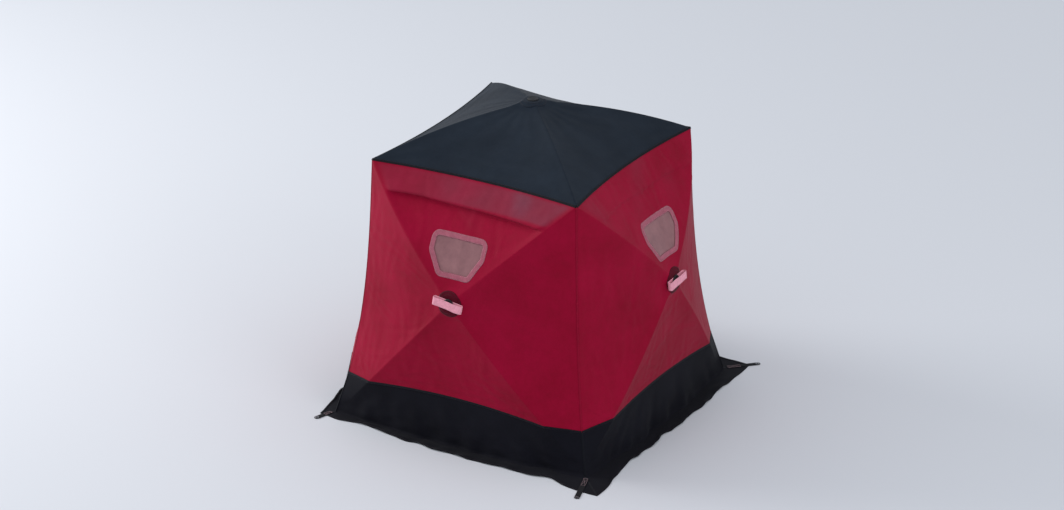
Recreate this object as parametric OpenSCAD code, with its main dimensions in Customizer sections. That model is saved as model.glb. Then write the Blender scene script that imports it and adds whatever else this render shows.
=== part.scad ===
// Pop-up ice fishing shelter: a square hub tent of stretched fabric on sprung poles.
// Millimetres, Z up. The origin is on the ground at the middle of the base.
// The front wall faces -Y, and the other walls are turned copies of it.

/* [Overall size] */
// Side of the square roof, between the fabric corners
roof_w = 1236; // [900:10:1800]
// Side of the square base on the ground, between the fabric corners
base_w = 1540; // [1200:10:2200]
// Height of the four roof corners
corner_h = 1450; // [1100:10:1900]
// Height of the cloth at the middle of the roof
peak_h = 1700; // [1300:10:2300]

/* [Walls] */
// Height of the hub in the middle of each wall
hub_h = 853; // [600:1:1100]
// Distance of each wall hub from the middle of the shelter
hub_out = 858; // [650:1:1200]
// Thickness of the cloth
cloth_t = 1; // [0.6:0.1:3]
// How far the upright corner seams pull in between their ends
corner_pull = 45; // [0:1:90]
// How far the roof seams pull in between their corners
eave_pull = 48; // [0:1:80]
// How far each stretched facet sags inwards
facet_sag = 9; // [0:1:30]

/* [Skirt] */
// Height of the seam between wall and skirt at the corners
seam_h = 225; // [120:5:400]
// Rise of that seam in the middle of a wall
seam_rise = 50; // [0:1:120]
// How far the foot of the skirt bulges out in the middle of a wall
skirt_bulge = 45; // [0:1:120]
// Width of the flap that lies on the ground
flap_w = 95; // [20:1:160]

/* [Poles and hubs] */
// Diameter of the fibreglass poles
pole_d = 11; // [8:0.5:16]
// Outward bow of the upper wall poles
upper_bow = 42; // [15:1:70]
// Outward bow of the lower wall poles
lower_bow = 30; // [12:1:60]
// Upward bow of the roof poles
roof_bow = 32; // [15:1:60]
// Diameter of a hub
hub_d = 88; // [70:1:130]
// Thickness of a hub
hub_t = 22; // [18:0.5:34]
// Outer diameter of the pole sockets, boots and feet sleeves
socket_d = 16; // [14:0.5:22]
// Length of a pole socket from its pin to its mouth
socket_len = 56; // [40:1:90]
// Diameter of the hinge pins in a hub
pin_d = 5; // [3:0.5:7]
// Clearance between a pole and what holds it
pole_fit = 0.3; // [0.1:0.05:0.6]

/* [Windows] */
// Width of a window over its border
window_w = 336; // [200:5:420]
// Height of a window over its border
window_h = 222; // [150:1:290]
// Height of the lower edge of the window border over the wall hub
window_rise = 128; // [100:1:170]
// Width of the lower edge of the window border
window_foot = 190; // [120:5:260]
// Width of the border round the clear pane
border_w = 28; // [15:1:40]
// Thickness of the clear pane
pane_t = 0.8; // [0.5:0.1:2]

/* [Door] */
// Width of the zipper tape round the door
zip_w = 30; // [16:1:50]

/* [Pull straps and anchors] */
// Length of the pull loop on a wall hub
pull_len = 178; // [120:1:240]
// Width of its webbing
pull_w = 44; // [25:1:60]
// How far the pull loop stands out
pull_depth = 27; // [22:1:45]
// Length of an anchor strap
anchor_len = 240; // [120:5:400]
// Width of an anchor strap
anchor_w = 30; // [20:1:50]
// Thickness of the webbing
web_t = 2.4; // [1.5:0.1:4]
// Diameter of the grommet hole at the end of an anchor strap
grommet_d = 12; // [8:0.5:18]

/* [Hidden] */
$fn = 48;
gap = 0.3;
// Pieces that follow a curved facet stay this far off it
skin_gap = 0.8;
roof_half = roof_w / 2;
base_half = base_w / 2;
pole_r = pole_d / 2;
socket_r = socket_d / 2;
hub_r = hub_d / 2;
hub_chamfer = 3;
// Plastic left between a slot and the hub's outer face
hub_skin = 2.6;
// Raised ring round the stem on the hub's inner face
hub_ring_r = 17;
hub_ring_t = 3;
// Blind pockets between the slots
pocket_r = 5.5;
pocket_ring_r = hub_r - 13;
pocket_depth = hub_t * 0.55;
cap_r = 30;
cap_t = 8;
cap_bevel = 4;
cap_rim_w = 6;
cap_dish = 1.5;
cap_boss_r = 9;
scallop_n = 12;
scallop_r = 4;
stem_r = 6;
rivet_r = 11;
rivet_t = 3.5;
patch_r = hub_r + 3;
// Cloth runs over a pole at this distance from the pole's axis
ridge_off = pole_r / cos(20) + gap + cloth_t;
// Cloth lies flat over a hub at this distance from the hub's middle plane
patch_off = hub_t / 2 + gap + cloth_t;
hub_tilt = atan((base_half - roof_half) / corner_h);
wall_hub = [0, -hub_out, hub_h];
roof_hub_h = peak_h - patch_off;
roof_hub = [0, 0, roof_hub_h];

// Upper pole ends, held in the boots, a little inside the fabric corner
boot_back = 32;
to_corner = [roof_half, corner_h - hub_h];
upper_dir = to_corner / norm(to_corner);
boot_xy = roof_half - boot_back * upper_dir[0];
boot_z = corner_h - boot_back * upper_dir[1];
boot_r = 14;
// Lower pole ends, held in the feet
foot_in = 30;
foot_xy = base_half - foot_in;
foot_z = 24;
foot_r = 14;
foot_pad_r = 22;
foot_pad_t = 7;
sleeve_len = 42;
// Hinge pins lie this far inside the hub's edge, in slots with room for the eyes to turn
pin_in = 13;
pin_dist = hub_r - pin_in;
pin_seat = 5;
eye_r = 7.5;
eye_w = 8;
slot_room = 1;
// Poles start this far past the hinge pin and end this far short of the corner
rod_start = 14;
rod_end = 12;
groove_n = 3;
groove_w = 2;
groove_pitch = 6;
groove_depth = 0.8;
edge_round = 1;
foot_rib_n = 6;
foot_rib_t = 3;

RED = [0.52, 0.02, 0.14];
BLACK = [0.06, 0.07, 0.09];
PLASTIC = [0.09, 0.09, 0.1];
GLASSFIBRE = [0.16, 0.16, 0.17];
CLEAR = [0.62, 0.6, 0.62];
BORDER = [0.78, 0.5, 0.56];
PALE = [0.9, 0.84, 0.84];

function mix(a, b, f) = a + (b - a) * f;
function sq(v) = v * v;

// A bowed pole as a circle in the plane of its run and its depth:
// [radius, run and depth of its centre, run, depth, chord]
function bowed(run, depth, bow) =
    let (chord = norm([run, depth]),
         r = (sq(chord) / 4 + sq(bow)) / (2 * bow),
         c = [run, depth] / 2 - [depth, -run] / chord * (r - bow))
    [r, c[0], c[1], run, depth, chord];
function ridge(arc, a) = arc[2] - sqrt(sq(arc[0] + ridge_off) - sq(a - arc[1]));

upper = bowed(norm([boot_xy, boot_z - hub_h]), hub_out - boot_xy, upper_bow);
lower = bowed(norm([foot_xy, hub_h - foot_z]), hub_out - foot_xy, lower_bow);
roof = bowed(norm([boot_xy, boot_xy]), roof_hub_h - boot_z, roof_bow);
lower_dir = [foot_xy, foot_z - hub_h] / norm([foot_xy, foot_z - hub_h]);

// Half width of the shelter along its upright corner seams
function corner_half(z) =
    mix(base_half, roof_half, z / corner_h) - corner_pull * sin(180 * pow(z / corner_h, 0.79));
seam_half = corner_half(seam_h);
function seam_z(x) = seam_h + seam_rise * (1 - sq(x / seam_half));
// Distance from the hub at which the lower poles cross the seam
function crossing(r, n) = n == 0 ? r : crossing((hub_h - seam_z(r * lower_dir[0])) / -lower_dir[1], n - 1);
cross_r = crossing((hub_h - seam_h) / -lower_dir[1], 5);
cross_x = cross_r * lower_dir[0];
cross_depth = ridge(lower, cross_r);

// Columns of the cloth grid, each a ray from the hub to a point on the panel's edge:
// [across, up, depth at the edge, first pole, its length, second pole, its length, share, corner side]
facet_n = 8;
corner_n = 6;
seam_n = 2;
ridge_len = norm(to_corner);
top_depth = hub_out - roof_half;
under_roof = cloth_t + gap;
top_rise = corner_h - under_roof - hub_h;
function eave_in(s) = eave_pull * 4 * s * (1 - s);
top_columns = [for (i = [0:facet_n - 1]) let (s = i / facet_n)
    [mix(-roof_half, roof_half, s) + (i == 0 ? gap : 0), top_rise, top_depth + eave_in(s),
     upper, ridge_len, upper, ridge_len, s, i == 0 ? -1 : 0]];
side_n = corner_n + seam_n;
right_columns = [for (i = [0:side_n - 1])
    let (s = i / side_n,
         z = mix(corner_h - under_roof, seam_h, i / corner_n),
         c = corner_half(z),
         x = mix(seam_half, cross_x, (i - corner_n) / seam_n),
         d = mix(hub_out - seam_half, cross_depth, (i - corner_n) / seam_n))
    i <= corner_n
        ? [c - gap, z - hub_h, hub_out - c, upper, ridge_len, lower, cross_r, s, 1]
        : [x, seam_z(x) - hub_h, d, upper, ridge_len, lower, cross_r, s, 0]];
seam_in = 8;
bottom_columns = [for (i = [0:facet_n - 1])
    let (s = i / facet_n, x = mix(cross_x, -cross_x, s))
    [x, seam_z(x) - hub_h, cross_depth + seam_in * 4 * s * (1 - s), lower, cross_r, lower, cross_r, s, 0]];
left_columns = [for (i = [0:side_n - 1])
    let (c = i == 0 ? [cross_x, seam_z(cross_x) - hub_h, cross_depth, upper, ridge_len, lower, cross_r, 1, 0]
                    : right_columns[side_n - i])
    [-c[0], c[1], c[2], c[3], c[4], c[5], c[6], c[7], -c[8]]];
wall_columns = concat(top_columns, right_columns, bottom_columns, left_columns);

roof_edge = [for (k = [0:3]) for (i = [0:facet_n - 1])
    let (s = i / facet_n, p = [mix(-roof_half, roof_half, s), eave_in(s) - roof_half])
    [p[0] * cos(90 * k) - p[1] * sin(90 * k), p[0] * sin(90 * k) + p[1] * cos(90 * k), s]];
roof_columns = [for (e = roof_edge)
    [e[0], e[1], roof_hub_h - corner_h, roof, roof_half * sqrt(2), roof, roof_half * sqrt(2), e[2], 0]];

// Depth of the cloth's outer face on a column's ray, at the share t of the way to the edge
function cloth(c, t) =
    let (s = c[7])
    mix(ridge(c[3], t * c[4]), ridge(c[5], t * c[6]), s)
    + (c[2] - mix(ridge(c[3], c[4]), ridge(c[5], c[6]), s)) * pow(t, 1.5)
    + facet_sag * 16 * s * (1 - s) * t * (1 - t);

first_t = 0.15;
rows = [for (i = [0:6]) mix(first_t, 1, i / 6)];
hole_r = stem_r + gap;
function flat_point(c, r, tilt) =
    let (d = [c[0], c[1]] / norm([c[0], c[1]]) * r)
    [d[0], d[1], -patch_off / cos(tilt) + d[1] * tan(tilt)];
// Outer face, ring by ring from the hub hole to the edge
function outer_rings(columns, tilt) = concat(
    [[for (c = columns) flat_point(c, hole_r, tilt)]],
    [[for (c = columns) flat_point(c, patch_r, tilt)]],
    [for (t = rows) [for (c = columns) [c[0] * t, c[1] * t, cloth(c, t)]]]);
function inner_rings(columns, outer) = [for (i = [0:len(outer) - 1]) [for (j = [0:len(columns) - 1])
    outer[i][j] + cloth_t * [i == len(outer) - 1 ? -columns[j][8] : 0, 0, 1]]];

function flatten(lists) = [for (l = lists) each l];
// The two halves of a panel are split into triangles as mirror images
function left_half(j, n) = (j + n - facet_n / 2) % n >= n / 2;
// Triangles of a closed strip grid: rings of n points, outer grid first and inner grid after it
function ring_faces(m, n, mirrored = false) =
    let (far = m * n)
    concat(
        flatten([for (i = [0:m - 2]) for (j = [0:n - 1])
            let (a = i * n + j, b = i * n + (j + 1) % n, c = b + n, d = a + n)
            mirrored && left_half(j, n)
                ? [[a, d, b], [b, d, c], [far + a, far + b, far + d], [far + b, far + c, far + d]]
                : [[a, d, c], [a, c, b], [far + a, far + c, far + d], [far + a, far + b, far + c]]]),
        flatten([for (j = [0:n - 1])
            let (a = j, b = (j + 1) % n, e = (m - 1) * n + a, f = (m - 1) * n + b)
            [[a, b, far + b], [a, far + b, far + a], [e, far + f, f], [e, far + e, far + f]]]));
// The same for an open grid of m rows by n columns
function sheet_faces(m, n) =
    let (far = m * n)
    concat(
        flatten([for (i = [0:m - 2]) for (j = [0:n - 2])
            let (a = i * n + j, b = a + 1, c = b + n, d = a + n)
            [[a, d, c], [a, c, b], [far + a, far + c, far + d], [far + a, far + b, far + c]]]),
        flatten([for (j = [0:n - 2])
            let (a = j, b = j + 1, e = (m - 1) * n + a, f = e + 1)
            [[a, b, far + b], [a, far + b, far + a], [e, far + f, f], [e, far + e, far + f]]]),
        flatten([for (i = [0:m - 2])
            let (a = i * n, d = a + n, e = a + n - 1, f = e + n)
            [[a, far + d, d], [a, far + a, far + d], [e, f, far + f], [e, far + f, far + e]]]));

function on_wall(p) = [p[0], p[2] - hub_out, p[1] + hub_h];
function on_roof(p) = [p[0], p[1], roof_hub_h - p[2]];

module cloth_wall() {
    outer = outer_rings(wall_columns, hub_tilt);
    inner = inner_rings(wall_columns, outer);
    points = [for (p = flatten(concat(outer, inner))) on_wall(p)];
    polyhedron(points, ring_faces(len(outer), len(wall_columns), true), convexity = 4);
}

// Convex outline, clockwise, with round corners of radius r, moved outwards by d, and points along its sides
function corner_arc(pts, i, r, d) =
    let (n = len(pts), p = pts[i],
         u = (pts[(i + n - 1) % n] - p) / norm(pts[(i + n - 1) % n] - p),
         v = (pts[(i + 1) % n] - p) / norm(pts[(i + 1) % n] - p),
         half = acos(u * v) / 2,
         c = p + (u + v) / norm(u + v) * r / sin(half),
         a0 = atan2(-u[0], u[1]), turn = 180 - 2 * half)
    [for (k = [0:4]) let (a = a0 - turn * k / 4) c + (r + d) * [cos(a), sin(a)]];
function rounded(pts, r, d, step) = flatten([for (i = [0:len(pts) - 1])
    let (j = (i + 1) % len(pts), arc = corner_arc(pts, i, r, d), next = corner_arc(pts, j, r, d)[0],
         m = max(1, round((norm(pts[j] - pts[i]) - 2 * r) / step)))
    concat(arc, m < 2 ? [] : [for (k = [1:m - 1]) mix(arc[4], next, k / m)])]);

// Point of the wall's outer face at a column and a ring of its grid, both of them real numbers
wall_grid = outer_rings(wall_columns, hub_tilt);
function skin(g) =
    let (n = len(wall_columns), i = min(floor(g[1]), len(wall_grid) - 2), j = floor(g[0]),
         fv = g[1] - i, fu = g[0] - j,
         a = wall_grid[i][j % n], b = wall_grid[i][(j + 1) % n],
         c = wall_grid[i + 1][(j + 1) % n], d = wall_grid[i + 1][j % n])
    left_half(j, n)
        ? (fu + fv < 1 ? a + fu * (b - a) + fv * (d - a) : c + (1 - fu) * (d - c) + (1 - fv) * (b - c))
        : (fv > fu ? a + fv * (d - a) + fu * (c - d) : a + fu * (b - a) + fv * (c - b));
function ring_at(t) = 2 + (t - first_t) / (1 - first_t) * (len(rows) - 1);
function lifted(line, lift) = [for (g = line) on_wall(skin(g) - [0, 0, lift])];

// A closed strip between two matching lines on the wall, lifted off it
module wall_ring(inner_line, outer_line, lift, thick) {
    points = concat(lifted(inner_line, lift + thick), lifted(outer_line, lift + thick),
                    lifted(inner_line, lift), lifted(outer_line, lift));
    polyhedron(points, ring_faces(2, len(inner_line)), convexity = 4);
}
// A filled sheet on the wall, from a middle point out through matching lines
module wall_sheet(middle, lines, lift, thick) {
    n = len(lines[0]);
    rings = len(lines);
    points = concat(lifted([middle], lift + thick), flatten([for (l = lines) lifted(l, lift + thick)]),
                    lifted([middle], lift), flatten([for (l = lines) lifted(l, lift)]));
    far = 1 + rings * n;
    fan = flatten([for (j = [0:n - 1])
        let (a = 1 + j, b = 1 + (j + 1) % n, e = a + (rings - 1) * n, f = b + (rings - 1) * n)
        [[0, a, b], [far, far + b, far + a], [e, far + f, f], [e, far + e, far + f]]]);
    strips = flatten([for (r = [0:rings - 2]) for (j = [0:n - 1])
        let (a = 1 + r * n + j, b = 1 + r * n + (j + 1) % n, c = b + n, d = a + n)
        [[a, d, c], [a, c, b], [far + a, far + c, far + d], [far + a, far + b, far + c]]]);
    polyhedron(points, concat(fan, strips), convexity = 4);
}
function shrunk(middle, line, shares) = [for (f = shares) [for (g = line) mix(middle, g, f)]];
// Cuts the wall along a line on it
module wall_cut(line) {
    rotate([90, 0, 0])
        linear_extrude(height = 2 * hub_out)
            polygon([for (q = lifted(line, 0)) [q[0], q[2]]]);
}

// Window, in the upper facet
function top_grid(q) =
    let (t = (q[1] - hub_h) / top_rise, s = (q[0] / t + roof_half) / roof_w)
    [s * facet_n, ring_at(t)];
window_sill = hub_h + window_rise;
window_top = window_sill + window_h;
// The sides are upright down to this height and then draw in to the foot
window_taper = window_sill + 0.55 * window_h;
window_shape = [[-window_w / 2, window_top], [window_w / 2, window_top],
                [window_w / 2, window_taper], [window_foot / 2, window_sill],
                [-window_foot / 2, window_sill], [-window_w / 2, window_taper]];
pane_round = 14;
window_round = pane_round + border_w;
border_t = 1.2;
function window_line(d) = [for (q = rounded(window_shape, window_round, d, 60)) top_grid(q)];

module window_border() {
    color(BORDER) wall_ring(window_line(-border_w), window_line(0), skin_gap, border_t);
}
module window_pane() {
    middle = top_grid([0, window_sill + window_h / 2]);
    rim = window_line(-border_w * 3 / 4);
    lines = concat(shrunk(middle, rim, [0.5]), [rim, window_line(-border_w / 4)]);
    color(CLEAR) wall_sheet(middle, lines, -cloth_t - skin_gap - pane_t, pane_t);
}

// Door, in the lower side facet: its line is drawn round the facet and out from the hub
door_span = 1200;
door_reach = 700;
door_mid = 0.55;
function door_place(s, t) = [(s - door_mid) * door_span * t, t * door_reach];
door_shape = [door_place(0.2, 0.94), door_place(0.72, 0.95), door_place(0.93, 0.93),
              door_place(0.84, 0.36), door_place(0.28, 0.36)];
door_round = 70;
door_fit = 4;
function door_grid(q) =
    let (t = q[1] / door_reach) [facet_n + (door_mid + q[0] / (door_span * t)) * side_n, ring_at(t)];
function door_line(d) = [for (q = rounded(door_shape, door_round, d, 60)) door_grid(q)];
door_middle = door_grid(door_place(0.6, 0.66));

module door_panel() {
    lines = shrunk(door_middle, door_line(-door_fit), [0.25, 0.5, 0.75, 1]);
    color(RED) rotate([0, 0, 180]) wall_sheet(door_middle, lines, -cloth_t, cloth_t);
}
module door_zipper() {
    color(BLACK) rotate([0, 0, 180])
        wall_ring(door_line(-zip_w / 2), door_line(zip_w / 2), skin_gap, border_t);
}

module wall(k, door) {
    color(RED) rotate([0, 0, 90 * k]) difference() {
        cloth_wall();
        wall_cut(window_line(-border_w / 2));
        if (door)
            wall_cut(door_line(0));
    }
}

module roof_cover() {
    outer = outer_rings(roof_columns, 0);
    inner = inner_rings(roof_columns, outer);
    points = [for (p = flatten(concat(outer, inner))) on_roof(p)];
    faces = [for (f = ring_faces(len(outer), len(roof_columns), true)) [f[0], f[2], f[1]]];
    color(BLACK) polyhedron(points, faces, convexity = 4);
}

// Skirt: hangs from the seam, follows the poles down to the feet and lies out on the ground
skirt_columns = concat([for (i = [corner_n:side_n - 1]) right_columns[i]], bottom_columns,
    [for (i = [0:seam_n]) left_columns[i]]);
skirt_rows = [0.25, 0.5, 0.75];
skirt_clear = 2;
// Depth and half width at which the skirt passes over a lower pole at a height
function pole_x(z) = (hub_h - z) / -lower_dir[1] * lower_dir[0];
function pole_y(z) = ridge(lower, (hub_h - z) / -lower_dir[1]) - hub_out - skirt_clear;
function fold_y(x) = -base_half - skirt_bulge * (1 - sq(x / base_half));
function skirt_point(seam, fold, f) =
    let (z = mix(seam[2], fold[2], f), x = min(abs(seam[0]), cross_x) / cross_x,
         over = pole_y(z) - mix(cross_depth - hub_out, fold_y(foot_xy), f),
         side = max(0, abs(seam[0]) - cross_x) / (seam_half - cross_x),
         y_seam = x < 1 ? seam[1] : cross_depth - hub_out,
         y_fold = x < 1 ? fold[1] : fold_y(foot_xy),
         p = [x * pole_x(z), mix(y_seam, y_fold, f) + over * pow(x, 4), z],
         c = mix(seam_half, base_half, f) - gap)
    side > 0 ? let (q = mix(p, [c, -c - gap, z], side)) [sign(seam[0]) * q[0], q[1], z]
             : [sign(seam[0]) * p[0], p[1], z];
module skirt(k) {
    n = len(skirt_columns);
    seam = [for (c = skirt_columns) [c[0], c[2] - hub_out, c[1] + hub_h - gap]];
    fold = [for (p = seam)
        let (x = abs(p[0]) <= cross_x ? abs(p[0]) / cross_x * foot_xy
                 : mix(foot_xy, base_half - gap, (abs(p[0]) - cross_x) / (seam_half - gap - cross_x)))
        [sign(p[0]) * x, fold_y(x), cloth_t]];
    hem = [for (p = fold) let (f = (base_half + flap_w) / base_half)
        [abs(p[0]) > base_half - 1 ? p[0] + sign(p[0]) * flap_w : p[0] * f, p[1] - flap_w, cloth_t]];
    outer = concat([seam],
        [for (f = skirt_rows) [for (j = [0:n - 1]) skirt_point(seam[j], fold[j], f)]],
        [fold, hem]);
    m = len(outer);
    side = [for (j = [0:n - 1]) j == 0 ? -1 : j == n - 1 ? 1 : 0];
    inner = [for (i = [0:m - 1]) [for (j = [0:n - 1])
        outer[i][j] + cloth_t * (i < m - 2 ? [side[j], 1, 0] : i == m - 2 ? [side[j], 1, -1] : [0, 0, -1])]];
    color(BLACK) rotate([0, 0, 90 * k])
        polyhedron(flatten(concat(outer, inner)), sheet_faces(m, n), convexity = 6);
}

// Frames along the poles
function hub_of(on_top) = on_top ? roof_hub : wall_hub;
function run_dir(kind, side) =
    kind == "upper" ? [side * upper_dir[0], 0, upper_dir[1]]
    : kind == "lower" ? [side * lower_dir[0], 0, lower_dir[1]]
    : [side, -1, 0] / sqrt(2);
function depth_dir(kind) = kind == "roof" ? [0, 0, -1] : [0, 1, 0];
function arc_of(kind) = kind == "upper" ? upper : kind == "lower" ? lower : roof;

// Places its children on a pole's axis, at a distance from the hub: X out of the cloth, Y along the pole
module on_pole(kind, side, dist) {
    arc = arc_of(kind);
    e = run_dir(kind, side);
    w = depth_dir(kind);
    x = (arc[4] * e - arc[3] * w) / arc[5];
    y = (arc[3] * e + arc[4] * w) / arc[5];
    z = cross(x, y);
    o = hub_of(kind == "roof") + arc[1] * e + arc[2] * w;
    turn = dist / arc[0] * 180 / PI - asin(arc[5] / 2 / arc[0]);
    multmatrix([[x[0], y[0], z[0], o[0]], [x[1], y[1], z[1], o[1]], [x[2], y[2], z[2], o[2]], [0, 0, 0, 1]])
        rotate([0, 0, turn])
            translate([arc[0], 0, 0])
                children();
}
function arc_length(arc) = 2 * asin(arc[5] / 2 / arc[0]) * PI / 180 * arc[0];

module pole(kind, side) {
    arc = arc_of(kind);
    start = pin_dist + rod_start;
    sweep = (arc_length(arc) - start - rod_end) / arc[0] * 180 / PI;
    on_pole(kind, side, start)
        translate([-arc[0], 0, 0])
            rotate_extrude(angle = sweep)
                translate([arc[0], 0])
                    circle(r = pole_r);
}

// Every pole of a wall: upper and lower on both sides; a roof has four of one kind
module each_wall_pole() {
    for (side = [-1, 1]) {
        $kind = "upper";
        $side = side;
        children();
    }
    for (side = [-1, 1]) {
        $kind = "lower";
        $side = side;
        children();
    }
}
module wall_poles(k) {
    color(GLASSFIBRE) rotate([0, 0, 90 * k]) each_wall_pole() pole($kind, $side);
}
module each_roof_pole() {
    for (q = [0:3]) rotate([0, 0, 90 * q]) {
        $kind = "roof";
        $side = 1;
        children();
    }
}
module roof_poles() {
    color(GLASSFIBRE) each_roof_pole() pole($kind, $side);
}

// Hub: slotted disc with a pin across each slot, a raised ring inside and pockets between the slots
module hub_disc() {
    inner = -hub_t / 2;
    outer = hub_t / 2;
    difference() {
        rotate_extrude()
            polygon([[stem_r + gap, inner - hub_ring_t], [hub_ring_r - edge_round, inner - hub_ring_t],
                     [hub_ring_r, inner - hub_ring_t + edge_round], [hub_ring_r, inner],
                     [hub_r - hub_chamfer, inner], [hub_r, inner + hub_chamfer],
                     [hub_r, outer - hub_chamfer], [hub_r - hub_chamfer, outer], [stem_r + gap, outer]]);
        for (a = [0:90:270]) rotate([0, 0, a])
            translate([pocket_ring_r, 0, inner - 1])
                cylinder(r = pocket_r, h = pocket_depth + 1);
    }
}
module socket_slot() {
    on_pole($kind, $side, pin_dist)
        translate([-hub_t, -eye_r - slot_room, -eye_w / 2 - gap])
            cube([hub_t + hub_t / 2 - hub_skin, hub_r, eye_w + 2 * gap]);
}
module hinge_pin() {
    on_pole($kind, $side, pin_dist)
        cylinder(d = pin_d, h = eye_w + 2 * pin_seat, center = true);
}
module on_wall_hub() {
    translate(wall_hub) rotate([90 - hub_tilt, 0, 0]) children();
}
module on_roof_hub() {
    translate(roof_hub) children();
}
module wall_hub_body(k) {
    color(PLASTIC) rotate([0, 0, 90 * k]) union() {
        difference() {
            on_wall_hub() hub_disc();
            each_wall_pole() socket_slot();
        }
        each_wall_pole() hinge_pin();
    }
}
module roof_hub_body() {
    color(PLASTIC) union() {
        difference() {
            on_roof_hub() hub_disc();
            each_roof_pole() socket_slot();
        }
        each_roof_pole() hinge_pin();
    }
}

// Tube of a socket, with rounded ends and grip grooves before its mouth
module socket_tube() {
    start = rod_start - 1;
    rings = [for (i = [groove_n:-1:1]) socket_len - i * groove_pitch];
    rotate([-90, 0, 0]) rotate_extrude()
        polygon(concat(
            [[0, start], [socket_r - edge_round, start], [socket_r, start + edge_round]],
            flatten([for (y = rings)
                [[socket_r, y], [socket_r - groove_depth, y + groove_depth],
                 [socket_r - groove_depth, y + groove_w], [socket_r, y + groove_w + groove_depth]]]),
            [[socket_r, socket_len - edge_round], [socket_r - edge_round, socket_len], [0, socket_len]]));
}
module socket() {
    on_pole($kind, $side, pin_dist) difference() {
        union() {
            cylinder(r = eye_r, h = eye_w, center = true);
            translate([-eye_r, 0, -eye_w / 2]) cube([2 * eye_r, rod_start, eye_w]);
            socket_tube();
        }
        cylinder(d = pin_d + 2 * gap, h = 2 * eye_w, center = true);
        translate([0, rod_start - gap, 0]) rotate([-90, 0, 0])
            cylinder(r = pole_r + pole_fit, h = socket_len);
    }
}
module pole_sockets() {
    color(PLASTIC) {
        for (k = [0:3]) rotate([0, 0, 90 * k]) each_wall_pole() socket();
        each_roof_pole() socket();
    }
}

// Cap outside the cloth: its stem goes through cloth and hub and is riveted over inside
module cap(strap) {
    base = patch_off + gap + (strap ? web_t + gap : 0);
    top = base + cap_t;
    seat = -hub_t / 2 - hub_ring_t - gap;
    difference() {
        rotate_extrude()
            polygon([[0, seat - rivet_t], [rivet_r - edge_round, seat - rivet_t],
                     [rivet_r, seat - rivet_t + edge_round], [rivet_r, seat], [stem_r, seat], [stem_r, base],
                     [cap_r, base], [cap_r, top - cap_bevel],
                     [cap_r - cap_bevel, top], [cap_r - cap_bevel - cap_rim_w, top],
                     [cap_r - cap_bevel - cap_rim_w - cap_dish, top - cap_dish],
                     [cap_boss_r + cap_dish, top - cap_dish], [cap_boss_r, top], [0, top]]);
        for (i = [0:scallop_n - 1]) rotate([0, 0, (i + 0.5) * 360 / scallop_n])
            translate([cap_r + scallop_r / 2, 0, base - 1])
                cylinder(r = scallop_r, h = cap_t + 2, $fn = 24);
    }
}
module wall_cap(k) {
    color(PLASTIC) rotate([0, 0, 90 * k]) on_wall_hub() cap(true);
}
module roof_cap() {
    color(PLASTIC) on_roof_hub() cap(false);
}

module stadium(length, depth) {
    hull() for (s = [-1, 1]) translate([s * (length - depth) / 2, depth / 2]) circle(d = depth);
}
// Pull loop: a flat loop of webbing, its back layer held under the cap, turned a little about it
pull_turn = [-8, 3, -4, 5];
module pull_loop(k) {
    back = patch_off + gap;
    color(PALE) rotate([0, 0, 90 * k]) on_wall_hub() rotate([0, 0, pull_turn[k]]) difference() {
        rotate([90, 0, 0]) translate([0, back, -pull_w / 2]) linear_extrude(height = pull_w) difference() {
            stadium(pull_len, pull_depth);
            translate([0, web_t]) stadium(pull_len - 2 * web_t, pull_depth - 2 * web_t);
        }
        cylinder(r = stem_r + gap, h = back + web_t + 1);
    }
}

// Corner boot: three sleeves on a ball, one for each pole that meets there
module sleeve(kind, side, solid) {
    length = arc_length(arc_of(kind));
    on_pole(kind, side, length - rod_end)
        if (solid)
            translate([0, rod_end, 0]) rotate([90, 0, 0]) cylinder(r = socket_r, h = sleeve_len);
        else
            translate([0, gap, 0]) rotate([90, 0, 0]) cylinder(r = pole_r + pole_fit, h = 2 * sleeve_len);
}
module boot() {
    difference() {
        union() {
            translate([boot_xy, -boot_xy, boot_z]) sphere(r = boot_r);
            sleeve("upper", 1, true);
            rotate([0, 0, 90]) sleeve("upper", -1, true);
            sleeve("roof", 1, true);
        }
        sleeve("upper", 1, false);
        rotate([0, 0, 90]) sleeve("upper", -1, false);
        sleeve("roof", 1, false);
    }
}
module corner_boots() {
    color(PLASTIC) for (k = [0:3]) rotate([0, 0, 90 * k]) boot();
}
// Foot: two sleeves on a ball over a round pad, with ribs between the pad and its column
foot_column_r = foot_r - 2;
module foot_pad() {
    rotate_extrude()
        polygon([[0, 0], [foot_pad_r, 0], [foot_pad_r, foot_pad_t - edge_round],
                 [foot_pad_r - edge_round, foot_pad_t], [foot_column_r, foot_pad_t],
                 [foot_column_r, foot_z], [0, foot_z]]);
    for (i = [0:foot_rib_n - 1]) rotate([90, 0, 360 * i / foot_rib_n])
        translate([0, 0, -foot_rib_t / 2]) linear_extrude(height = foot_rib_t)
            polygon([[0, 1], [foot_pad_r - edge_round, 1], [foot_pad_r - edge_round, foot_pad_t],
                     [foot_column_r, foot_z - foot_rib_t], [0, foot_z - foot_rib_t]]);
}
module foot() {
    difference() {
        union() {
            translate([foot_xy, -foot_xy, foot_z]) sphere(r = foot_r);
            translate([foot_xy, -foot_xy, 0]) foot_pad();
            sleeve("lower", 1, true);
            rotate([0, 0, 90]) sleeve("lower", -1, true);
        }
        sleeve("lower", 1, false);
        rotate([0, 0, 90]) sleeve("lower", -1, false);
    }
}
module corner_feet() {
    color(PLASTIC) for (k = [0:3]) rotate([0, 0, 90 * k]) foot();
}

// Anchor strap, sewn to the flap at a corner of the skirt, with an eyelet in its round end.
// Each lies as it was pulled out: turned from the diagonal, and one of them half tucked in.
anchor_turn = [-28, 0, -28, 28];
anchor_reach = [1, 0.8, 1, 0.5];
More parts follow.
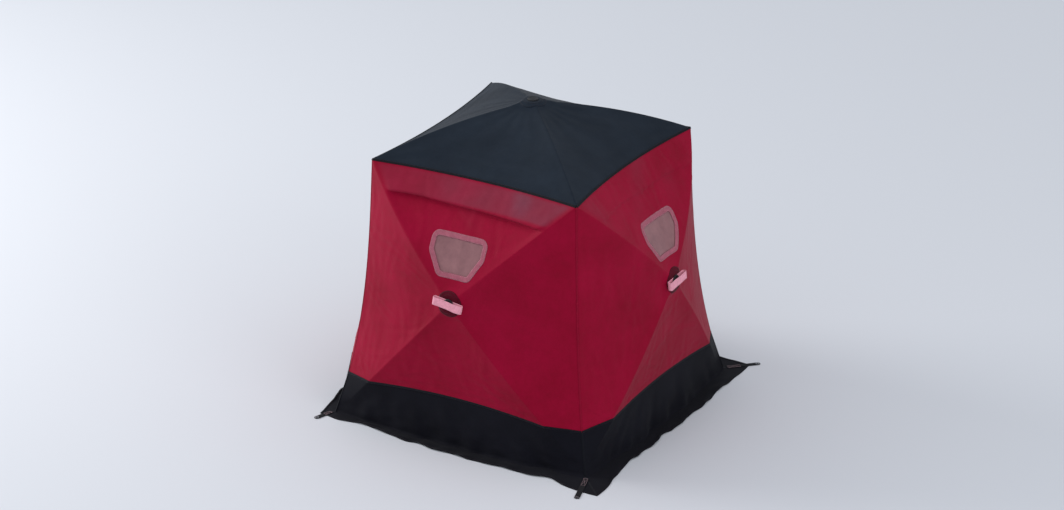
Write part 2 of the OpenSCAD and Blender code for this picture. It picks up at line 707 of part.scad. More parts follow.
// Each starts this far inside the flap's corner, along both sides
anchor_lap = 81;
eyelet_w = 4.5;
eyelet_t = 0.8;
module anchor(k) {
    reach = anchor_len * anchor_reach[k];
    root = base_half + flap_w - anchor_lap;
    color(BLACK) rotate([0, 0, 90 * k])
        translate([root, -root, cloth_t + gap])
            rotate([0, 0, -45 + anchor_turn[k]]) difference() {
                union() {
                    translate([0, -anchor_w / 2, 0]) cube([reach - anchor_w / 2, anchor_w, web_t]);
                    translate([reach - anchor_w / 2, 0, 0]) cylinder(d = anchor_w, h = web_t);
                    translate([reach - anchor_w / 2, 0, -eyelet_t])
                        cylinder(d = grommet_d + 2 * eyelet_w, h = web_t + 2 * eyelet_t);
                }
                translate([reach - anchor_w / 2, 0, -2 * eyelet_t])
                    cylinder(d = grommet_d, h = web_t + 4 * eyelet_t);
            }
}

wall(0, false);  // wall_front
wall(1, false);  // wall_right
wall(2, true);  // wall_back
wall(3, false);  // wall_left
roof_cover();
skirt(0);  // skirt_front
skirt(1);  // skirt_right
skirt(2);  // skirt_back
skirt(3);  // skirt_left
window_pane();  // window_front
rotate([0, 0, 90]) window_pane();  // window_right
rotate([0, 0, 180]) window_pane();  // window_back
rotate([0, 0, 270]) window_pane();  // window_left
window_border();  // window_border_front
rotate([0, 0, 90]) window_border();  // window_border_right
rotate([0, 0, 180]) window_border();  // window_border_back
rotate([0, 0, 270]) window_border();  // window_border_left
door_panel();
door_zipper();
wall_hub_body(0);  // hub_front
wall_hub_body(1);  // hub_right
wall_hub_body(2);  // hub_back
wall_hub_body(3);  // hub_left
roof_hub_body();  // hub_roof
wall_cap(0);  // hub_cap_front
wall_cap(1);  // hub_cap_right
wall_cap(2);  // hub_cap_back
wall_cap(3);  // hub_cap_left
roof_cap();  // hub_cap_roof
pull_loop(0);  // pull_loop_front
pull_loop(1);  // pull_loop_right
pull_loop(2);  // pull_loop_back
pull_loop(3);  // pull_loop_left
pole_sockets();
wall_poles(0);  // poles_front
wall_poles(1);  // poles_right
wall_poles(2);  // poles_back
wall_poles(3);  // poles_left
roof_poles();  // poles_roof
corner_boots();
corner_feet();
anchor(0);  // anchor_strap_1
anchor(1);  // anchor_strap_2
anchor(2);  // anchor_strap_3
anchor(3);  // anchor_strap_4
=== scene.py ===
import math

import bpy
import numpy as np
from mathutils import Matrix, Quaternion, Vector
from mathutils.geometry import delaunay_2d_cdt


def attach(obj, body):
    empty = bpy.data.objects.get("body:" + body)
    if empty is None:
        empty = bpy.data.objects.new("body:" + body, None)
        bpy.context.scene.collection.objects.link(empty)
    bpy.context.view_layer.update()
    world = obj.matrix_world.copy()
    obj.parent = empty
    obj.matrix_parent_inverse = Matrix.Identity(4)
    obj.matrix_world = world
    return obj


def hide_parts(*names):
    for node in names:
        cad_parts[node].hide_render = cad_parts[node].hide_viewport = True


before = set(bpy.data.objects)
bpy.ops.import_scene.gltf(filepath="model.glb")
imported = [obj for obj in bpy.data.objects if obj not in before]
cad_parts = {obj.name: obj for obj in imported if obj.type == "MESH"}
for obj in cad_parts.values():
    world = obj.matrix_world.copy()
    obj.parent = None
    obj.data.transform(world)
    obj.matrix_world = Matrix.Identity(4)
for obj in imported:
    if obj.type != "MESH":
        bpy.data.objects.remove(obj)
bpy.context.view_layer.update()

SIDES = ("front", "right", "back", "left")
BACK = 2
ROOF_K = 4
TAU = math.tau

# Driving dimensions, in metres, the same as the solids'
ROOF_HALF = 0.618
BASE_HALF = 0.770
CORNER_H = 1.450
PEAK_H = 1.700
HUB_H = 0.853
HUB_OUT = 0.858
CLOTH_T = 0.001
CORNER_PULL = 0.045
EAVE_PULL = 0.048
FACET_SAG = 0.009
SEAM_H = 0.225
SEAM_RISE = 0.050
SKIRT_BULGE = 0.045
FLAP_W = 0.095
POLE_R = 0.0055
UPPER_BOW = 0.042
LOWER_BOW = 0.030
ROOF_BOW = 0.032
BOOT_BACK = 0.032
FOOT_IN = 0.030
FOOT_Z = 0.024
HUB_R = 0.044
HUB_T = 0.022
GAP = 0.0003
WINDOW_W = 0.336
WINDOW_FOOT = 0.190
WINDOW_RISE = 0.128
WINDOW_H = 0.222
BORDER_W = 0.028
PANE_ROUND = 0.014
PULL_LEN = 0.178
PULL_W = 0.044
PULL_DEPTH = 0.027
PULL_TURN = (-8.0, 3.0, -4.0, 5.0)
WEB_T = 0.0024
ANCHOR_LEN = 0.240
ANCHOR_W = 0.030
ANCHOR_LAP = 0.081
ANCHOR_TURN = (-28, 0, -28, 28)
ANCHOR_REACH = (1, 0.8, 1, 0.5)

# How far the cloth's outer face lies off a pole's middle and off a hub's
PATCH_R = HUB_R + 0.003
RIDGE_OFF = POLE_R / math.cos(math.radians(20)) + GAP + CLOTH_T
PATCH_OFF = HUB_T / 2 + GAP + CLOTH_T
# Share of the way out over which a facet leaves the flat patch over its hub
FIRST_T = 0.15
# The wall hubs lean with the wall
HUB_TILT = math.atan((BASE_HALF - ROOF_HALF) / CORNER_H)
ROOF_HUB_H = PEAK_H - PATCH_OFF
UNDER_ROOF = CLOTH_T + GAP

to_corner = np.array([ROOF_HALF, CORNER_H - HUB_H])
RIDGE_LEN = np.linalg.norm(to_corner)
upper_dir = to_corner / RIDGE_LEN
boot_xy = ROOF_HALF - BOOT_BACK * upper_dir[0]
boot_z = CORNER_H - BOOT_BACK * upper_dir[1]
foot_xy = BASE_HALF - FOOT_IN


def stacked(*parts):
    """Points from their coordinates."""
    return np.stack(np.broadcast_arrays(*parts), -1)


def turned(v, k):
    """Points of the front wall turned onto wall k."""
    for _ in range(k % 4):
        v = stacked(-v[..., 1], v[..., 0], v[..., 2])
    return v


def unit(v):
    return v / np.maximum(np.linalg.norm(v, axis=-1, keepdims=True), 1e-12)


def bowed(run, depth, bow):
    """A bowed pole as a circle in the plane of its run and its depth."""
    chord = math.hypot(run, depth)
    r = (chord ** 2 / 4 + bow ** 2) / (2 * bow)
    centre = np.array([run, depth]) / 2 - np.array([depth, -run]) / chord * (r - bow)
    return r, centre[0], centre[1]


def ridge(arc, a):
    """Depth of the cloth's outer face over a pole, at a distance a from the hub."""
    return arc[2] - np.sqrt((arc[0] + RIDGE_OFF) ** 2 - (a - arc[1]) ** 2)


upper = bowed(math.hypot(boot_xy, boot_z - HUB_H), HUB_OUT - boot_xy, UPPER_BOW)
lower = bowed(math.hypot(foot_xy, HUB_H - FOOT_Z), HUB_OUT - foot_xy, LOWER_BOW)
roof_arc = bowed(math.hypot(boot_xy, boot_xy), ROOF_HUB_H - boot_z, ROOF_BOW)
lower_dir = unit([foot_xy, FOOT_Z - HUB_H])


def corner_half(z):
    """Half width of the shelter along its upright corner seams."""
    k = z / CORNER_H
    return BASE_HALF + (ROOF_HALF - BASE_HALF) * k - CORNER_PULL * np.sin(math.pi * k ** 0.79)


seam_half = corner_half(SEAM_H)


def seam_z(x):
    """Height of the seam between wall and skirt."""
    return SEAM_H + SEAM_RISE * (1 - (x / seam_half) ** 2)


# Where the lower poles cross that seam, found by steps
cross_r = (HUB_H - SEAM_H) / -lower_dir[1]
for _ in range(6):
    cross_r = (HUB_H - seam_z(cross_r * lower_dir[0])) / -lower_dir[1]
cross_x = cross_r * lower_dir[0]
cross_depth = ridge(lower, cross_r)
over_x = cross_x / seam_half
# How far the seam pulls in between the poles
SEAM_SAG = 0.008


def eave_in(s):
    return EAVE_PULL * 4 * s * (1 - s)


class Panel:
    """Cloth pushed out by a hub: four facets between bowed poles, as a depth over a plane."""

    PER_EDGE = 240

    def __init__(self, facets, tilt):
        self.facets, self.tilt = facets, tilt
        s = np.linspace(0, 1, self.PER_EDGE + 1)[:-1]
        p, q, w = np.concatenate([stacked(*edge(s)) for edge, _ in facets]).T
        self.edge = stacked(p, q)
        ang = np.unwrap(np.arctan2(q, p))
        self.sign = 1 if ang[-1] > ang[0] else -1
        ang = ang * self.sign
        self.ang = np.append(ang, ang[0] + TAU)
        self.rad, self.w = [np.append(a, a[0]) for a in (np.hypot(p, q), w)]

    def locate(self, p, q):
        """The facet at points of the plane, the shares round it and out, the edge's depth and radius."""
        a = np.arctan2(q, p) * self.sign
        a = self.ang[0] + np.mod(a - self.ang[0], TAU)
        i = np.minimum(np.searchsorted(self.ang, a, side="right"), len(self.edge)) - 1
        f = (a - self.ang[i]) / (self.ang[i + 1] - self.ang[i])
        s = (i % self.PER_EDGE + f) / self.PER_EDGE
        w = self.w[i] + f * (self.w[i + 1] - self.w[i])
        r = self.rad[i] + f * (self.rad[i + 1] - self.rad[i])
        return i // self.PER_EDGE, s, np.hypot(p, q) / r, w, r

    def depth(self, p, q):
        """Depth of the cloth's outer face inwards from the hub's plane."""
        ident, s, t, w_edge, r_edge = self.locate(p, q)
        out = np.zeros_like(p)
        for k, (_, (first, second)) in enumerate(self.facets):
            m = ident == k
            share, far = s[m], np.maximum(t[m], FIRST_T)

            def between(t_):
                return (ridge(first[0], t_ * first[1]) * (1 - share)
                        + ridge(second[0], t_ * second[1]) * share)

            out[m] = (between(far) + (w_edge[m] - between(1.0)) * far ** 1.5
                      + FACET_SAG * 16 * share * (1 - share) * far * (1 - far))
        r = np.hypot(p, q)
        slope = q / np.maximum(r, 1e-12) * math.tan(self.tilt)
        flat = slope * np.minimum(r, PATCH_R) - PATCH_OFF / math.cos(self.tilt)
        f = np.clip((r - PATCH_R) / (FIRST_T * r_edge - PATCH_R), 0, 1)
        return np.where(t < FIRST_T, flat * (1 - f) + out * f, out)


# The wall's four edges: share along one to its place in the wall's plane and its depth
top_q = CORNER_H - UNDER_ROOF - HUB_H
# Share of a side edge that runs up the corner seam; the rest runs along the skirt to the pole
UPRIGHT = 0.75


def top_edge(s):
    return 2 * ROOF_HALF * s - ROOF_HALF, top_q, HUB_OUT - ROOF_HALF + eave_in(s)


def right_edge(s):
    on_seam = s <= UPRIGHT
    k = np.minimum(s / UPRIGHT, 1)
    z = (CORNER_H - UNDER_ROOF) * (1 - k) + SEAM_H * k
    c = corner_half(z)
    f = np.clip((s - UPRIGHT) / (1 - UPRIGHT), 0, 1)
    x = np.where(on_seam, c - GAP, seam_half + (cross_x - seam_half) * f)
    d = np.where(on_seam, HUB_OUT - c, (HUB_OUT - seam_half) * (1 - f) + cross_depth * f)
    return x, np.where(on_seam, z, seam_z(x)) - HUB_H, d


def bottom_edge(s):
    x = cross_x * (1 - 2 * s)
    return x, seam_z(x) - HUB_H, cross_depth + SEAM_SAG * 4 * s * (1 - s)


def left_edge(s):
    x, q, d = right_edge(1 - s)
    return -x, q, d


def roof_edge(k):
    def edge(s):
        line = stacked(2 * ROOF_HALF * s - ROOF_HALF, eave_in(s) - ROOF_HALF, ROOF_HUB_H - CORNER_H)
        return turned(line, k).T
    return edge


U, L, R = (upper, RIDGE_LEN), (lower, cross_r), (roof_arc, ROOF_HALF * math.sqrt(2))
WALL = Panel([(top_edge, (U, U)), (right_edge, (U, L)), (bottom_edge, (L, L)), (left_edge, (L, U))],
             HUB_TILT)
ROOF = Panel([(roof_edge(k), (R, R)) for k in range(4)], 0.0)


# Small tools
def waves(x, y, seed, scale):
    """Repeatable noise: a sum of seven sines, about -1 to 1."""
    rng = np.random.default_rng(seed)
    out = np.zeros_like(x)
    for _ in range(7):
        a, k, phase = rng.uniform(0, TAU), rng.uniform(0.6, 1.7) * TAU / scale, rng.uniform(0, 6.28)
        out += np.sin((x * math.cos(a) + y * math.sin(a)) * k + phase)
    return out / math.sqrt(7) * 0.8


def smooth(x, a, b):
    f = np.clip((x - a) / (b - a), 0, 1)
    return f * f * (3 - 2 * f)


def square_to(v, ahead):
    """A direction made square to another, per point."""
    return unit(v - (v * ahead).sum(-1, keepdims=True) * ahead)


def run_along(path):
    """Length along a path at each of its points."""
    return np.concatenate([[0], np.cumsum(np.linalg.norm(np.diff(path, axis=0), axis=1))])


def at_lengths(u, d, path):
    """The path's points at the lengths u, given its own lengths d."""
    return stacked(*[np.interp(u, d, c) for c in path.T])


def closed_line(line):
    return np.concatenate([line, line[:1]])


def resample(outline, step=1.0, count=0):
    """Even points round a closed outline, by their step or their count."""
    p = closed_line(outline)
    d = run_along(p)
    n = count or max(3, round(d[-1] / step))
    return at_lengths(np.linspace(0, d[-1], n + 1)[:-1], d, p)


def new_object(name, verts, faces, paint, uv=None):
    mesh = bpy.data.meshes.new(name)
    mesh.from_pydata(verts, [], faces, shade_flat=False)
    if uv is not None:
        layer = mesh.uv_layers.new(name="UVMap")
        corners = np.concatenate([list(f) for f in faces])
        layer.data.foreach_set("uv", np.float32(uv)[corners].ravel())
    obj = bpy.data.objects.new(name, mesh)
    bpy.context.scene.collection.objects.link(obj)
    mesh.materials.append(paint)
    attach(obj, "root")
    return obj


def dresses(node_name):
    """The solid of that name is hidden."""
    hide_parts(node_name)


def quads(rows, cols, around=True, closed=False):
    """Faces between rows of points: around joins a row's ends, closed the last row and the first."""
    i = np.arange(rows if closed else rows - 1)[:, None] * cols
    j = np.arange(cols if around else cols - 1)[None]
    up, ahead = (i + cols) % (rows * cols), (j + 1) % cols
    return stacked(i + j, i + ahead, up + ahead, up + j).reshape(-1, 4)


# Columns of such faces that make them face the other way
OVER = [0, 3, 2, 1]


def tube(rows, cols, closed=False):
    """Faces of a solid given as rings of points, with a cap on both ends unless it is closed."""
    faces, last = list(quads(rows, cols, closed=closed)), (rows - 1) * cols
    return faces if closed else faces + [range(cols)[::-1], range(last, last + cols)]


def normals_of(v, f):
    """Vertex normals of a triangle or quad sheet."""
    a, b, c = v[f[:, :3].T]
    fn = np.cross(b - a, c - a) if f.shape[1] == 3 else np.cross(c - a, v[f[:, 3]] - b)
    n = np.zeros_like(v)
    for i in range(f.shape[1]):
        np.add.at(n, f[:, i], fn)
    return unit(n)


def area_of(v, f):
    a, b, c = v[f.T]
    return round(float(np.linalg.norm(np.cross(b - a, c - a), axis=1).sum() / 2), 3)


def rim_edges(f):
    """Edges that belong to one face only."""
    m = f.shape[1]
    e = np.concatenate([f[:, [i, (i + 1) % m]] for i in range(m)])
    _, inverse, count = np.unique(np.sort(e, 1), axis=0, return_inverse=True, return_counts=True)
    return e[count[inverse.ravel()] == 1]


def thick(name, v, f, thickness, paint, uv):
    """A closed sheet: the outer face given, the inner one thickness behind it."""
    m = len(v)
    faces = list(f) + list(f[:, ::-1] + m) + [(b, a, a + m, b + m) for a, b in rim_edges(f)]
    both = np.concatenate([v, v - normals_of(v, f) * thickness])
    return new_object(name, both, faces, paint, np.concatenate([uv, uv]))


def band(name, rows, thickness, paint, width):
    """A thin closed strip over rows of points, its outer face away from the shelter's middle."""
    m, n = np.shape(rows)[:2]
    v, f = np.reshape(rows, (-1, 3)), quads(m, n)[:, OVER]
    if (normals_of(v, f) * (v - [0.0, 0.0, 0.8])).sum() < 0:
        f = f[:, ::-1]
    uv = stacked(np.linspace(0, width, m)[:, None], run_along(rows[m // 2]))
    return thick(name, v, f, thickness, paint, uv.reshape(-1, 2))


def swept(name, path, across, out, px, py, paint, edge=0.0, closed=False):
    """A profile carried along a path: px across it, py out of it. UV in metres, across from the edge."""
    n, m = len(path), len(py)
    px = np.broadcast_to(px, (n, m))
    across, out = np.broadcast_to(across, path.shape), np.broadcast_to(out, path.shape)
    v = path[:, None] + across[:, None] * px[:, :, None] + out[:, None] * py[:, None]
    uv = stacked(px + edge, run_along(path)[:, None]).reshape(-1, 2)
    return new_object(name, v.reshape(-1, 3), tube(n, m, closed), paint, uv)


def circle(r, count):
    a = np.linspace(0, TAU, count + 1)[:-1]
    return r * stacked(np.cos(a), np.sin(a))


def tape(name, path, across, out, paint, width, height, bulge):
    """A flat tape with a lens profile along a path, fuller for a greater bulge."""
    x, y = circle(1, 10).T
    px = np.sign(x) * np.abs(x) ** (1 / bulge) * width / 2
    return swept(name, path, across, out, px, y * height / 2, paint, width / 2)


def webbing_profile(half, thickness, rim, shoulder, rim_y):
    """Webbing in section, thinner at its rims and between edge and middle: across and out."""
    x = np.array([-1, -rim, -shoulder, -0.5, 0, 0.5, shoulder, rim])
    y = np.array([0, rim_y, 0.5, 0.46, 0.5, 0.46, 0.5, rim_y])
    return half * np.concatenate([x, -x]), thickness * np.concatenate([y, -y])


# Places along a bead, and its width and height there as shares
BEAD = ((-0.5, 0.3, 0.0), (-0.28, 1.05, 0.7), (0.28, 1.05, 0.7), (0.5, 0.3, 0.0))


def beads(name, path, out, paint, pitch=0.0055, length=0.0041, r=0.0005, across=False, height=1.0):
    """A row of small rounded bars on a path: stitches along it, or zipper teeth across it."""
    d = run_along(path)
    n = max(2, int(d[-1] / pitch))
    u = (np.arange(n) + 0.5) * d[-1] / n
    at = at_lengths(u, d, path)
    ahead = unit(at_lengths(u + pitch / 2, d, path) - at_lengths(u - pitch / 2, d, path))
    out = square_to(at_lengths(u, d, np.broadcast_to(out, path.shape)), ahead)
    run = unit(np.cross(out, ahead)) if across else ahead
    side = np.cross(out, run)
    m = 6 if across else 4
    verts = [at + run * share * length + side * (math.cos(a) * r * wide)
             + out * (math.sin(a) * r * wide * height + up * r * height)
             for share, wide, up in BEAD for a in TAU * np.arange(m) / m]
    faces = [[i + len(verts) * c for i in q] for c in range(n) for q in tube(len(BEAD), m)]
    return new_object(name, np.stack(verts, 1).reshape(-1, 3), faces, paint)


def inside(outline, x, y):
    """Which points lie in a closed outline."""
    r = np.zeros(len(x), bool)
    for (x0, y0), (x1, y1) in zip(outline, np.roll(outline, -1, 0)):
        if y0 != y1:
            r ^= ((y0 > y) != (y1 > y)) & (x < (x1 - x0) * (y - y0) / (y1 - y0) + x0)
    return r


def triangulate(outline, holes, points):
    """Triangles over the points between an outline and its holes, with both as edges."""
    edges, start = [], 0
    for loop in [outline] + holes:
        n = len(loop)
        edges += [(start + i, start + (i + 1) % n) for i in range(n)]
        start += n
    verts = [Vector(p) for p in np.concatenate([outline, *holes, points])]
    out_v, _, out_f, *_ = delaunay_2d_cdt(verts, edges, [], 0, 1e-6)
    v = np.array([(p.x, p.y) for p in out_v])
    f = np.array([t for t in out_f if len(t) == 3])
    c = v[f].mean(1)
    keep = inside(outline, *c.T)
    for hole in holes:
        keep &= ~inside(hole, *c.T)
    f = f[keep]
    a, b, c = v[f.T]
    area = np.cross(b - a, c - a)
    f = np.where((area < 0)[:, None], f[:, ::-1], f)[np.abs(area) > 1e-12]
    used, f_used = np.unique(f, return_inverse=True)
    return v[used], f_used.reshape(-1, 3)


def clear_of(points, lines, dist):
    """The points that lie further than a distance from every line's points."""
    keep = np.ones(len(points), bool)
    for p in np.concatenate(lines):
        keep &= np.linalg.norm(points - p, axis=1) > dist
    return points[keep]


def filled(rim, low, high, step, clear):
    """Triangles over a small outline, with a square grid of points between two corners."""
    grid = np.meshgrid(np.arange(low[0], high[0], step), np.arange(low[1], high[1], step))
    points = stacked(*grid).reshape(-1, 2)
    return triangulate(rim, [], clear_of(points[inside(rim, *points.T)], [rim], clear))


def rounded(corners, r, d):
    """Convex clockwise outline with round corners, moved outwards by d."""
    corners, out = np.array(corners), []
    for i, p in enumerate(corners):
        u, v = unit(corners[i - 1] - p), unit(corners[(i + 1) % len(corners)] - p)
        half = math.acos(np.clip(u @ v, -1, 1)) / 2
        c = p + unit(u + v) * r / math.sin(half)
        start, turn = math.atan2(-u[0], u[1]), math.pi - 2 * half
        a = start - turn * np.arange(9) / 8
        out.append(c + (r + d) * stacked(np.cos(a), np.sin(a)))
    return np.concatenate(out)


# Materials
def srgb(r, g, b):
    def linear(c):
        return c / 255 / 12.92 if c <= 10 else ((c / 255 + 0.055) / 1.055) ** 2.4
    return linear(r), linear(g), linear(b), 1.0


def shade(colour, k):
    """A colour made darker or lighter."""
    return tuple(np.minimum(np.array(colour) * [k, k, k, 1], 1))


class Nodes:
    """A node tree, with short ways to add to it."""

    def __init__(self, tree):
        self.tree = tree

    def add(self, kind, links=None, **values):
        """A node: sockets linked into its inputs, and values of its other inputs and settings."""
        n = self.tree.nodes.new(kind)
        for key, value in values.items():
            label = key.replace("_", " ")
            if label in n.inputs:
                n.inputs[label].default_value = value
            else:
                setattr(n, key, value)
        for key, socket in (links or {}).items():
            self.tree.links.new(socket, n.inputs[key])
        return n

    def math(self, operation, *terms, clamp=False):
        n = self.add("ShaderNodeMath", operation=operation, use_clamp=clamp)
        for socket, term in zip(n.inputs, terms):
            if isinstance(term, float):
                socket.default_value = term
            else:
                self.tree.links.new(term, socket)
        return n.outputs[0]


class Paint(Nodes):
    """A procedural material on the Principled shader."""

    def __init__(self, name, **values):
        self.material = bpy.data.materials.new(name)
        self.material.use_nodes = True
        super().__init__(self.material.node_tree)
        self.shader = self.tree.nodes["Principled BSDF"]
        self.coords = self.add("ShaderNodeTexCoord").outputs
        self.relief = None
        for key, value in values.items():
            self.shader.inputs[key.replace("_", " ")].default_value = value

    def feed(self, key, socket):
        self.tree.links.new(socket, self.shader.inputs[key])

    def noise(self, scale, detail=5.0, roughness=0.7, distortion=0.0):
        return self.add("ShaderNodeTexNoise", {"Vector": self.coords["Object"]}, Scale=scale,
                        Detail=detail, Roughness=roughness, Distortion=distortion).outputs["Fac"]

    def stripes(self, axis, per_metre, distortion=0.0, detail=2.0, coords="UV"):
        return self.add("ShaderNodeTexWave", {"Vector": self.coords[coords]}, bands_direction=axis,
                        Scale=per_metre / 6.28, Distortion=distortion, Detail=detail).outputs["Fac"]

    def ramp(self, fac, *stops):
        n = self.add("ShaderNodeValToRGB", {"Fac": fac})
        for element, (place, colour) in zip(n.color_ramp.elements, stops):
            element.position, element.color = place, colour
        return n.outputs["Color"]

    def span(self, fac, low, high):
        return self.add("ShaderNodeMapRange", {"Value": fac}, To_Min=low, To_Max=high).outputs["Result"]

    def bump(self, height, strength, distance):
        """Small relief, over the relief that is there."""
        n = self.add("ShaderNodeBump", {"Height": height}, Strength=strength, Distance=distance)
        if self.relief:
            self.tree.links.new(self.relief, n.inputs["Normal"])
        self.relief = n.outputs["Normal"]
        self.feed("Normal", self.relief)


def cloth(name, dark, light, roughness, sheen, painted_sheen=None):
    """Coated woven cloth: two-way weave, blotchy colour, small creases, and a painted grey sheen where
    stored.
    """
    m = Paint(name, Sheen_Weight=sheen, Specular_IOR_Level=0.07)
    fine = m.noise(38.0, detail=6.0, roughness=0.65)
    blotches = m.math("MULTIPLY_ADD", fine, 0.35, m.noise(3.2, roughness=0.6))
    colour = m.ramp(blotches, (0.45, dark), (0.9, light))
    if painted_sheen:
        # Painted sheen: a grey-blue colour mixed in by the share stored on the points
        sheen_share = m.add("ShaderNodeAttribute", attribute_name="painted_sheen").outputs["Fac"]
        share = m.math("MULTIPLY", sheen_share, m.span(fine, 0.75, 1.2))
        mix = m.add("ShaderNodeMix", {0: share, 6: colour}, data_type="RGBA")
        mix.inputs[7].default_value = painted_sheen
        colour = mix.outputs[2]
    m.feed("Base Color", colour)
    weave = [m.stripes(axis, 1 / 0.0011, distortion=0.4) for axis in "XY"]
    m.bump(m.math("MAXIMUM", *weave), 0.25, 0.0003)
    m.bump(m.noise(16.0, detail=4.0, roughness=0.55, distortion=0.6), 0.35, 0.004)
    m.feed("Roughness", m.span(fine, roughness - 0.08, roughness + 0.1))
    return m.material


def plastic(name, colour, roughness=0.45, grain=900.0):
    m = Paint(name, Specular_IOR_Level=0.3)
    wear = m.noise(45.0)
    m.feed("Base Color", m.ramp(wear, (0.3, shade(colour, 0.8)), (0.75, shade(colour, 1.35))))
    m.bump(m.noise(grain, detail=3.0, roughness=0.5), 0.15, 0.0004)
    m.feed("Roughness", m.span(wear, roughness - 0.1, roughness + 0.15))
    return m.material


def webbing(name, colour, pitch, roughness):
    """Woven webbing: fine ribs across its length and stripes along it."""
    m = Paint(name, Roughness=roughness, Sheen_Weight=0.05, Specular_IOR_Level=0.10)
    ribs = m.stripes("Y", 1 / pitch, distortion=0.6, detail=1.0)
    runs = m.stripes("X", 1 / 0.0035, distortion=0.3)
    m.bump(m.math("MULTIPLY_ADD", ribs, 0.7, runs), 0.5, 0.0006)
    m.feed("Base Color", m.ramp(m.noise(60.0), (0.3, shade(colour, 0.78)), (0.7, shade(colour, 1.1))))
    return m.material


def thread(name, colour):
    """Twisted sewing thread, darker in the twist's grooves: painted shade."""
    m = Paint(name, Roughness=0.6)
    twist = m.stripes("DIAGONAL", 2637.6, coords="Object")
    m.bump(twist, 0.4, 0.0002)
    # Painted shade: the colour darkens where the twist's relief is low
    m.feed("Base Color", m.ramp(twist, (0.0, shade(colour, 0.75)), (1.0, colour)))
    return m.material


# The red wall cloth carries a grey-blue painted sheen that stands in for the sky's reflection
RED = cloth("red_cloth", srgb(132, 1, 35), srgb(152, 3, 47), 0.66, 0.05, painted_sheen=srgb(76, 86, 100))
BLACK = cloth("black_roof_cloth", srgb(23, 31, 41), srgb(32, 41, 52), 0.60, 0.04)
SKIRT = cloth("black_skirt_cloth", srgb(12, 12, 19), srgb(21, 21, 29), 0.72, 0.03)
# Patch cloth darker than the walls: a real reinforcing patch whose darkness is partly painted shade round
# the pull loops
PATCH = cloth("hub_patch_cloth", srgb(72, 1, 20), srgb(88, 2, 28), 0.66, 0.05)
BINDING = webbing("seam_binding", srgb(17, 19, 26), 0.0016, 0.70)
RED_TAPE = webbing("red_seam_tape", srgb(142, 1, 41), 0.0016, 0.70)
BORDER = webbing("window_tape", srgb(166, 92, 108), 0.0018, 0.65)
PALE = webbing("pale_webbing", srgb(236, 160, 178), 0.0024, 0.60)
STRAP = webbing("black_webbing", srgb(20, 20, 25), 0.0022, 0.75)
PLASTIC = plastic("hub_plastic", srgb(30, 31, 34))
ROD = plastic("fibreglass_rod", srgb(34, 34, 37), roughness=0.3, grain=2500.0)
ZIP_TEETH = plastic("zipper_coil", srgb(20, 20, 23), roughness=0.35)
DARK_THREAD = thread("dark_thread", srgb(48, 30, 40))
PALE_THREAD = thread("pale_thread", srgb(196, 160, 168))
steel = Paint("grommet_metal", Base_Color=srgb(176, 178, 182), Metallic=1.0)
steel.feed("Roughness", steel.span(steel.noise(220.0), 0.2, 0.45))
STEEL = steel.material
# Clear window vinyl, hazed and a little rippled
vinyl = Paint("clear_vinyl", Roughness=0.22, Specular_IOR_Level=0.25, Alpha=0.85)
vinyl.bump(vinyl.noise(7.0, detail=3.0, roughness=0.5, distortion=0.8), 0.3, 0.006)
haze = vinyl.noise(9.0, detail=6.0)
vinyl.feed("Base Color", vinyl.ramp(haze, (0.3, srgb(136, 95, 99)), (0.8, srgb(166, 119, 122))))
VINYL = vinyl.material

# Outlines in the wall's plane
SILL = HUB_H + WINDOW_RISE
TAPER = SILL + 0.55 * WINDOW_H
TOP = SILL + WINDOW_H
WINDOW_SHAPE = [(-WINDOW_W / 2, TOP), (WINDOW_W / 2, TOP), (WINDOW_W / 2, TAPER),
                (WINDOW_FOOT / 2, SILL), (-WINDOW_FOOT / 2, SILL), (-WINDOW_W / 2, TAPER)]
# Corners of the door beside the hub, out and up from it, and how round they are
DOOR_SHAPE = [(0.590, 0.253), (0.684, -0.604), (0.549, -0.569), (0.235, -0.223), (0.228, 0.050)]
DOOR_ROUND = 0.070


def window_line(d):
    """A window's outline, moved outwards by d."""
    return rounded(WINDOW_SHAPE, PANE_ROUND + BORDER_W, d) - [0, HUB_H]


def door_line(d):
    """The door's outline, moved outwards by d."""
    return resample(rounded(DOOR_SHAPE, DOOR_ROUND, d), count=200)


# Creases of the stretched cloth: heights in metres, angles in degrees
SWELL, CORNER_FOLD, HUB_FOLD, LONG_FOLD, EDGE_FOLD = 0.0024, 0.0022, 0.0016, 0.0011, 0.0014
ROOF_SWELL, ROOF_FOLD, ROOF_EDGE_FOLD = 0.0030, 0.0018, 0.0016
LONG_ANGLES = (78, 102, 20, 160)
# The crease under the eave: its height, how far down it lies and how wide it is
CREASE_H, CREASE_DROP, CREASE_W = 0.018, 0.116, 0.020
WALL_SEEDS, ROOF_SEED = (11, 18, 25, 32), 77


def folds(x, y, seed, across, along, angle):
    """Long creases in one direction: narrow across and stretched along it, about -1 to 1."""
    c, d = math.cos(math.radians(angle)), math.sin(math.radians(angle))
    u, v = (x * c + y * d) / along, (y * c - x * d) / across
    patches = smooth(waves(u, v * 0.5, seed + 3, 1.3), -0.2, 0.8)
    return np.sin(TAU * v + 2.4 * waves(u, v * 0.35, seed, 1.0)) * patches


def corner_folds(dx, dz, seed, count, reach):
    """Tension creases that fan out of a corner and fade, uneven in angle and strength."""
    r, a = np.hypot(dx, dz), np.arctan2(dz, dx)
    strength = 0.5 + 0.5 * waves(a, r * 0.6, seed, 0.9)
    fan = np.sin(a * count + 2.2 * waves(a, r, seed + 1, 1.2))
    return fan * strength * np.exp(-r / reach) * smooth(r, 0.02, 0.12)


